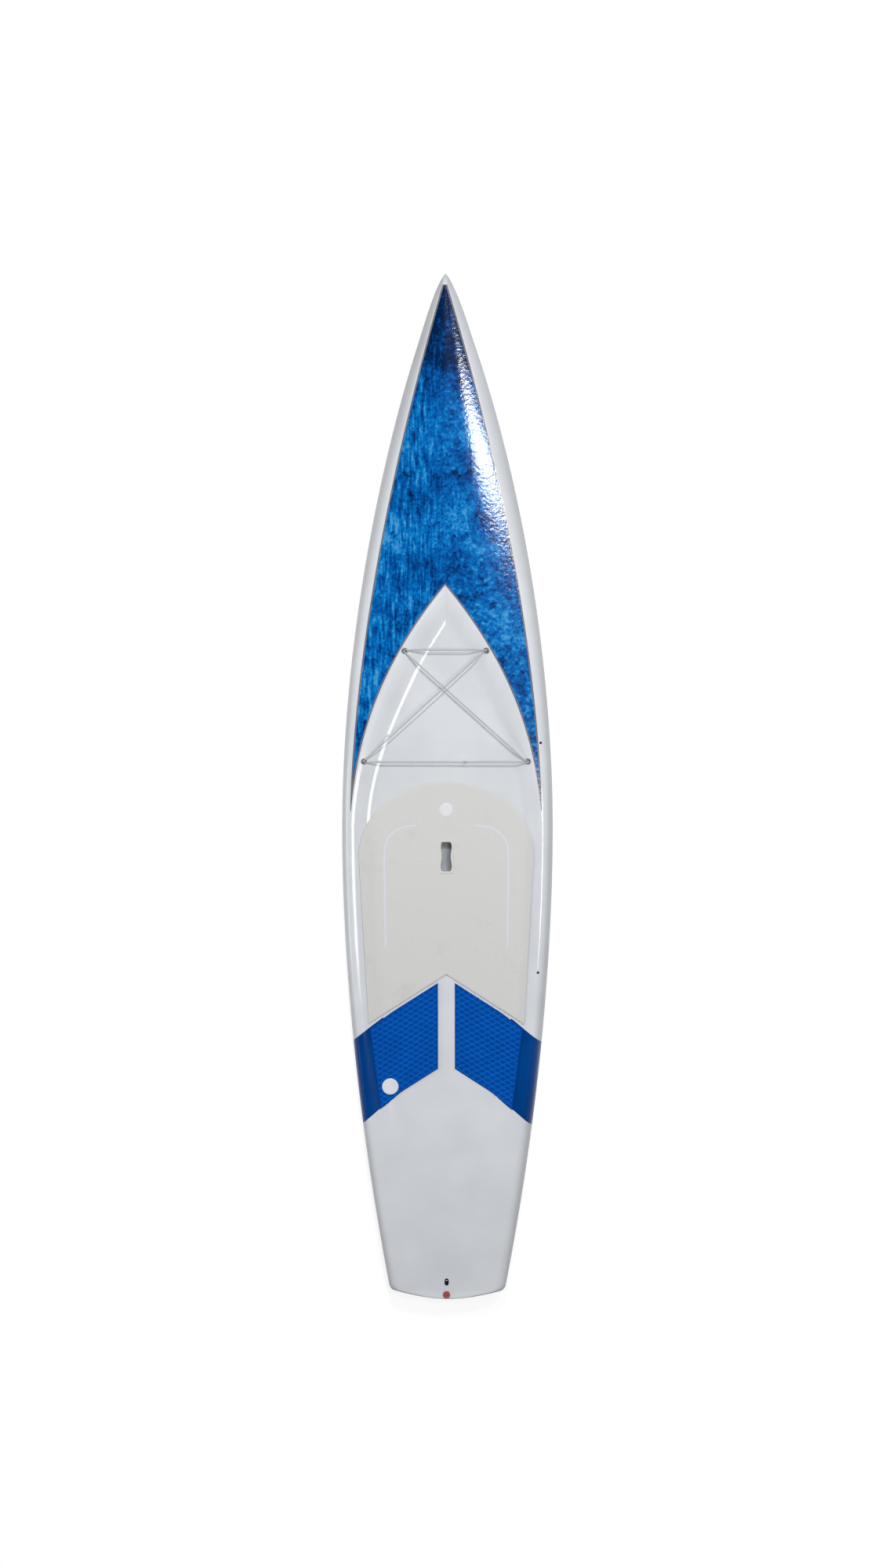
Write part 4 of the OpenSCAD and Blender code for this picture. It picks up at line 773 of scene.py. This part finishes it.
# tail pad: a raked quadrilateral that sweeps back near the rail, pressed with staggered diamonds
def makeTailPad(name, sign):
    d = tailPadSizes
    u = (np.arange(d["rows"] + 1) / d["rows"])[:, None]
    v = (np.arange(d["columns"] + 1) / d["columns"])[None, :]
    outer = d["frontOuter"] + (d["rearOuter"] - d["frontOuter"]) * u
    x = d["inner"] + (outer - d["inner"]) * v
    s = d["front"] + d["long"] * u + d["rake"] * (x - d["inner"])
    sweep = d["sweepFront"] + (d["sweepRear"] - d["sweepFront"]) * u
    s = s + sweep * ease((x - outer) / d["sweepWidth"] + 1)
    y = halfLength - s
    inside = wayFromEdges(x, y)
    # two crossing families of slanted lines; a point's way to the nearest line, in line spacings
    wide, long = d["diamond"]
    along = s - d["skew"] * x
    first = x / wide + along / long
    second = x / wide - along / long
    toLine = np.minimum(np.abs(first - np.round(first)), np.abs(second - np.round(second)))
    pressed = (1 - ease(toLine / d["pressWidth"])) * ease((inside - d["plainEdge"]) / d["plainFade"])
    rise = d["thick"] * (d["sideShare"] + (1 - d["sideShare"]) * roundEdge(inside / d["edge"], 2))
    x = sign * x
    points = np.stack([x, y, deckZ(x, y) + d["glue"] + rise - d["press"] * pressed], axis=-1)
    faces = gridFaces(*x.shape)
    faces = faces if sign < 0 else faces[:, ::-1]
    return giveWall(makePiece(name, points, faces, blueEva, {"pressed": pressed}), d["wall"])


deckPad = makeDeckPad()
tailPadLeft = makeTailPad("tailPadLeft", -1)
tailPadRight = makeTailPad("tailPadRight", 1)
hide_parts("deck_pad")
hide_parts("tail_pad_left")
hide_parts("tail_pad_right")
print("pads ready")


# each disc's place across, distance from the nose and radius, then what all discs share
discSizes = dict(padDisc=(0.0, 1986.0, 25.0), tailDisc=(-209.0, 3016.0, 30.0), low=6.2, thick=1.3, steps=72,
                 rings=[0.0, 0.25, 0.5, 0.7, 0.85, 0.94, 0.98, 1.0, 1.0],
                 lifts=[1.0, 1.0, 1.0, 1.0, 1.0, 0.97, 0.85, 0.55, 0.0])


# plain vinyl disc: rings of a circle laid on the pad, with a rolled edge
def makeDisc(name):
    d = discSizes
    across, fromNose, r = d[name]
    rings = r * np.array(d["rings"])[:, None]
    a = 2 * math.pi * evenSteps(d["steps"])
    x = across + rings * np.cos(a)
    y = halfLength - fromNose + rings * np.sin(a)
    z = deckZ(x, y) + d["low"] + d["thick"] * np.array(d["lifts"])[:, None]
    faces = gridFaces(*x.shape, joinCols=True)[:, ::-1]
    return makePiece(name, np.stack([x, y, z], axis=-1), faces, discVinyl)


padDisc = makeDisc("padDisc")
tailDisc = makeDisc("tailDisc")
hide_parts("pad_disc")
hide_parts("tail_disc")


handleSizes = dict(deep=44.0, lip=12.0, undercut=8.0, padTop=5.95, steps=96, wall=1.6)


# handle cup: rings of the waisted outline, over the rim, down the lip, out under it and to the floor
def makeHandleCup():
    f, d = fittings, handleSizes
    rim, lip, deep, long = f["handleRim"], d["lip"], d["deep"], f["handleLong"]
    wide = f["handleEnd"] + d["undercut"]
    # the neck: steps out from the opening, heights over the pad, and 1 where the cream rim shows
    neck = np.array([
        (rim, -6.0, 1), (rim, -1.6, 1), (rim - 0.5, -0.5, 1), (rim - 1.6, 0.0, 1), (2.6, -0.2, 1),
        (0.7, -1.2, 1), (0.0, -3.0, 0), (0.0, 1.5 - lip, 0), (0.5, 0.3 - lip, 0), (2.0, -lip, 0),
    ])
    # the cup under the lip: half-widths, half-lengths and heights, closing in the middle of its floor
    cup = np.array([
        (wide - 2, long + 3.5, -lip), (wide, long + 4, -lip - 2), (wide, long + 4, 8 - deep),
        (wide - 2, long + 2, 3 - deep), (wide - 7, long - 3, 0.6 - deep), (wide - 12, long - 9, -deep),
        (0.3 * wide, 0.6 * long, -deep), (0.01, 0.01, -deep),
    ])
    endHalf = np.concatenate([f["handleEnd"] + neck[:, 0], cup[:, 0]])[:, None]
    waistHalf = np.concatenate([f["handleWaist"] + neck[:, 0], cup[:, 0]])[:, None]
    longHalf = np.concatenate([long + neck[:, 0], cup[:, 1]])[:, None]
    x, y = waistOutline(2 * math.pi * evenSteps(d["steps"]), endHalf, waistHalf, longHalf)
    top = float(deckZ(np.float64(0), np.float64(f["handleY"]))) + d["padTop"]
    z = top + np.concatenate([neck[:, 1], cup[:, 2]])[:, None] + 0 * x
    rimShows = np.concatenate([neck[:, 2], np.zeros(len(cup))])[:, None] + 0 * x
    points = np.stack([x, y + f["handleY"], z], axis=-1)
    faces = gridFaces(*x.shape, joinCols=True)[:, ::-1]
    # the cup wears the lighter copy of the grey, painted light for its shaded inside
    piece = makePiece("handleCup", points, faces, cupMouldingLitInRecess, {"rim": rimShows}, merge=0.1)
    return giveWall(piece, d["wall"])


cup = makeHandleCup()
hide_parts("handle_cup")


# radius and height of each point of the plug's profile, in mm
plugShape = dict(
    profile=[(0.0, -16.0), (10.0, -16.0), (10.4, -15.6), (10.4, 0.15), (11.8, 0.15), (12.0, 0.5), (11.8, 1.1),
             (11.2, 1.5), (10.4, 1.7), (9.4, 1.6), (8.8, 1.3), (8.5, 0.7), (8.5, -12.0), (7.6, -13.6),
             (6.5, -14.0), (0.0, -14.0)],
    steps=56,
)


# bungee plug: a lathe profile turned on the deck's own frame
def makePlug(name, x0, y0):
    place, first, second, normal = deckFrame(x0, y0, (-np.sign(x0), 0, 0))
    profile = np.array(plugShape["profile"])
    a = 2 * math.pi * evenSteps(plugShape["steps"])[..., None]
    r = profile[:, 0][:, None, None]
    z = profile[:, 1][:, None, None]
    points = place + r * (np.cos(a) * first + np.sin(a) * second) + z * normal
    return makePiece(name, points, gridFaces(*points.shape[:2], joinCols=True), greyMoulding, merge=0.05)


for name, node, sign, spot in (
    ("plugFrontLeft", "bungee_plug_front_left", -1, "frontPlug"),
    ("plugFrontRight", "bungee_plug_front_right", 1, "frontPlug"),
    ("plugRearLeft", "bungee_plug_rear_left", -1, "rearPlug"),
    ("plugRearRight", "bungee_plug_rear_right", 1, "rearPlug"),
):
    plug = makePlug(name, sign * fittings[spot][0], fittings[spot][1])
    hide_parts(node)
    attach(plug, "board")


# sizes in mm; a hump lifts or lowers a straight run in its middle, where two of them cross
bungee = dict(cord=5.0, bar=3.5, flange=1.6, strandStep=6.0, humps=(0.0, 4.0, 0.0, -2.0), sides=14,
              runPoints=24, wrapGap=0.3, barSink=0.1)


# bungee: over each bar, under it and up on the inner side, then on to the next plug, as one closed loop
def makeBungee():
    d = bungee
    wrap = (d["bar"] + d["cord"]) / 2 + d["wrapGap"]
    lift = d["flange"] - d["bar"] / 2 - d["barSink"]
    under = np.radians(np.arange(90, 361, 15))
    out = np.radians(np.arange(15, 91, 15))
    across = np.concatenate([wrap * np.cos(under), 2 * wrap - wrap * np.cos(out)])[:, None]
    up = np.concatenate([wrap * np.sin(under), wrap * np.sin(out)])[:, None] + lift
    turns = []
    for sign, spot, came in ((-1, "frontPlug", -1), (1, "frontPlug", 1),
                             (-1, "rearPlug", 1), (1, "rearPlug", -1)):
        place, first, second, normal = deckFrame(sign * fittings[spot][0], fittings[spot][1], (-sign, 0, 0))
        half = came * d["strandStep"] / 2
        step = np.concatenate([np.linspace(half, -half, len(under)), np.full(len(out), -half)])[:, None]
        turns.append(place + across * first - sign * step * second + up * normal)
    # straight runs from each turn to the next; a hump fills the middle two thirds
    t = (np.arange(1, d["runPoints"]) / d["runPoints"])[:, None]
    hump = np.sin(math.pi * share((t - 1 / 6) * 1.5)) * (0, 0, 1)
    runs = [turn[-1] + (following[0] - turn[-1]) * t + height * hump
            for turn, following, height in zip(turns, turns[1:] + turns[:1], d["humps"])]
    line = np.concatenate([part for pair in zip(turns, runs) for part in pair])
    # a little smoothing takes the corners off the places where turns and straights meet
    for _ in range(2):
        line = (np.roll(line, 1, axis=0) + 2 * line + np.roll(line, -1, axis=0)) / 4
    tangent = np.roll(line, -1, axis=0) - np.roll(line, 1, axis=0)
    tangent = tangent / np.linalg.norm(tangent, axis=1, keepdims=True)
    sideways = np.cross(tangent, (0, 1, 0))
    sideways = sideways / np.linalg.norm(sideways, axis=1, keepdims=True)
    upwards = np.cross(tangent, sideways)
    a = 2 * math.pi * evenSteps(d["sides"])[..., None]
    r = d["cord"] / 2
    points = line[:, None, :] + r * (np.cos(a) * sideways[:, None, :] + np.sin(a) * upwards[:, None, :])
    faces = gridFaces(len(line), d["sides"], joinRows=True, joinCols=True)
    piece = makePiece("deckBungee", points, faces, sleeve)
    # the sleeve's own UV in mm: the way along the cord, and round it
    way = np.concatenate([[0], np.cumsum(np.linalg.norm(np.diff(line, axis=0), axis=1))])
    last = way[-1] + np.linalg.norm(line[0] - line[-1])
    i = faces // d["sides"]
    j = faces % d["sides"]
    wrapRow = (i == 0) & (i.max(axis=1, keepdims=True) == len(line) - 1)
    wrapCol = (j == 0) & (j.max(axis=1, keepdims=True) == d["sides"] - 1)
    u = np.where(wrapRow, last, way[i])
    v = np.where(wrapCol, d["sides"], j) * 2 * math.pi * r / d["sides"]
    layer = piece.data.uv_layers.new(name="sleeve")
    layer.data.foreach_set("uv", np.stack([u, v], axis=-1).astype(np.float32).ravel())
    return piece


cord = makeBungee()
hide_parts("deck_bungee")
print("fittings ready")

for piece, slotName in (
    (deckSkin, "white_laminate"), (bottomSkin, "white_laminate"), (nosePanel, "blue_print"),
    (deckPad, "beige_eva"), (tailPadLeft, "blue_eva"), (tailPadRight, "blue_eva"), (padDisc, "disc_white"),
    (tailDisc, "disc_white"), (cup, "grey_moulding"), (cord, "bungee_cord"),
):
    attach(piece, "board")


# finishes of the nodes that stay: nodes, material, two tones, grain in mm, roughness, metal and stretch
keptNodes = (
    ("leash_plug fin_box", ("mouldedBlackNylon", "#1E1C1C", "#2C2A2A", 2.5, 0.42)),  # black, a dull sheen
    ("bungee_bar_front_left bungee_bar_front_right bungee_bar_rear_left bungee_bar_rear_right "
     "leash_bar_piece fin_plate fin_screw",
     ("drawnSteelRod", "#9A9C9E", "#C2C4C6", 1.5, 0.28, 1.0, (1, 14, 1))),  # bright, with fine lines
    ("strap_insert_front strap_insert_rear", ("agedBrass", "#3A2418", "#5A3C24", 2.0, 0.45, 0.6)),  # brown
    ("vent_plug", ("fadedRedAbs", "#A24547", "#B45557", 5, 0.5)),  # red, bleached by the sun
    ("vent_seal", ("mouldedSealRubber", "#161616", "#242424", 2, 0.6)),  # matt black
    ("bungee_crimp", ("swagedAlloySleeve", "#8E9194", "#A9ACAF", 2.0, 0.4, 0.8)),  # dull grey metal
    ("core_left core_right", ("expandedBeadFoam", "#EDEAE0", "#F6F4EC", 4, 0.9)),  # chalky white
    ("handle_block fin_box_block strap_plug_front strap_plug_rear",
     ("densePvcFoam", "#D8C9A4", "#E3D6B6", 2.5, 0.85)),  # dry cream
    ("stringer", ("paulowniaStrip", "#B98F5E", "#D8B284", 3, 0.6, 0.0, (1, 40, 1))),  # pale, long grain
)
finishes = [(nodes, grainedStuff(*recipe)) for nodes, recipe in keptNodes] + [("vent_socket", greyMoulding)]
for nodes, finish in finishes:
    for node in nodes.split():
        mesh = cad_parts[node].data
        mesh.materials.clear()
        mesh.materials.append(finish)
print("node finishes ready")


# studio: a small hard key on the nose side, two soft boxes on the right that the lacquer and the dish mirror,
# a low box along the left, white walls and a dark ceiling; each lamp's place, width, length, watts and target
studio = dict(
    keyLamp=((0.3, 3.3, 6.0), 0.25, 0.25, 155, (0, 0, 0.1)),
    noseBox=((2.45, 1.95, 5.4), 1.5, 0.55, 80, (0.15, 1.1, 0.15)),
    dishBox=((1.75, -0.6, 5.4), 2.5, 1.3, 70, (-0.2, 0.1, 0.15)),
    leftBox=((-3.0, -0.3, 1.0), 0.8, 3.0, 22, (0, -0.3, 0.1)),
    air=0.21, airColour="#F5F6F8", ceiling=0.03, wallFade=(0.35, 0.7),
    floorSeen=0.84, floorFar=1.0, floorFade=(3.5, 9.0), floorPale=0.3, floorBounce=0.3,
    floorHalf=14000.0, floorDrop=1.0,
)


# an oval lamp facing its target, its length kept along the board
def aimLamp(name, place, width, length, power, target):
    lamp = bpy.data.lights.new(name, "AREA")
    lamp.shape = "ELLIPSE"
    lamp.size = width
    lamp.size_y = length
    lamp.energy = power
    holder = bpy.data.objects.new(name, lamp)
    holder.location = place
    back = (Vector(place) - Vector(target)).normalized()
    across = Vector((0, 1, 0)).cross(back).normalized()
    holder.rotation_euler = Matrix((across, back.cross(across), back)).transposed().to_euler()
    bpy.context.scene.collection.objects.link(holder)


# 1 for what is seen, straight, mirrored or through glass, and 0 for the light's own bounces
def whereSeen(tree):
    path = addNode(tree, "LightPath").outputs
    seen = path["Is Camera Ray"]
    for ray in ("Is Glossy Ray", "Is Transmission Ray"):
        seen = addNode(tree, "Math", {0: seen, 1: path[ray]}, operation="MAXIMUM")
    return seen


for lampName in ("keyLamp", "noseBox", "dishBox", "leftBox"):
    aimLamp(lampName, *studio[lampName])

# the floor is plain diffuse for the light, and pale with the board's shadow for the eye
floorMaterial, tree, place = newMaterial("paleStudioFloor")
bounce = addNode(tree, "BsdfDiffuse", {0: (studio["floorBounce"],) * 3 + (1,)})
shadow = addNode(tree, "BsdfDiffuse", {0: (studio["floorPale"],) * 3 + (1,)})
# away from the lamps the floor's glow rises to full white, so that the floor runs into the walls
reach = addNode(tree, "VectorMath", {0: place}, operation="LENGTH")
white = addNode(tree, "MapRange", {0: reach.outputs["Value"], 1: studio["floorFade"][0],
        2: studio["floorFade"][1], 3: studio["floorSeen"], 4: studio["floorFar"]})
paper = addNode(tree, "Emission", {0: (1, 1, 1, 1), 1: white})
pale = addNode(tree, "AddShader", {0: shadow, 1: paper})
floorMix = addNode(tree, "MixShader", {0: whereSeen(tree), 1: bounce, 2: pale})
addNode(tree, "OutputMaterial", {0: floorMix})
corners = np.array([[-1, -1, 0], [1, -1, 0], [1, 1, 0], [-1, 1, 0]]) * studio["floorHalf"]
corners = corners - (0, 0, studio["floorDrop"])
floor = makePiece("studioFloor", corners, np.array([[0, 1, 2, 3]]), floorMaterial)

# the air lights evenly; what is seen, also in reflections, is white walls that end in a dark ceiling
world = bpy.data.worlds.new("studioAir")
bpy.context.scene.world = world
world.use_nodes = True
tree = world.node_tree
tree.nodes.clear()
way = addNode(tree, "SeparateXYZ", {0: addNode(tree, "TexCoord").outputs["Generated"]})
walls = addNode(tree, "MapRange", {0: way.outputs[2], 1: studio["wallFade"][0], 2: studio["wallFade"][1],
        3: 1.0, 4: studio["ceiling"]}, interpolation_type="SMOOTHSTEP")
soft = addNode(tree, "Background", {0: linear(studio["airColour"]), 1: studio["air"]})
room = addNode(tree, "Background", {0: (1, 1, 1, 1), 1: walls})
sky = addNode(tree, "MixShader", {0: whereSeen(tree), 1: soft, 2: room})
addNode(tree, "OutputWorld", {0: sky})
bpy.context.scene.view_settings.view_transform = "Standard"
print("studio ready")
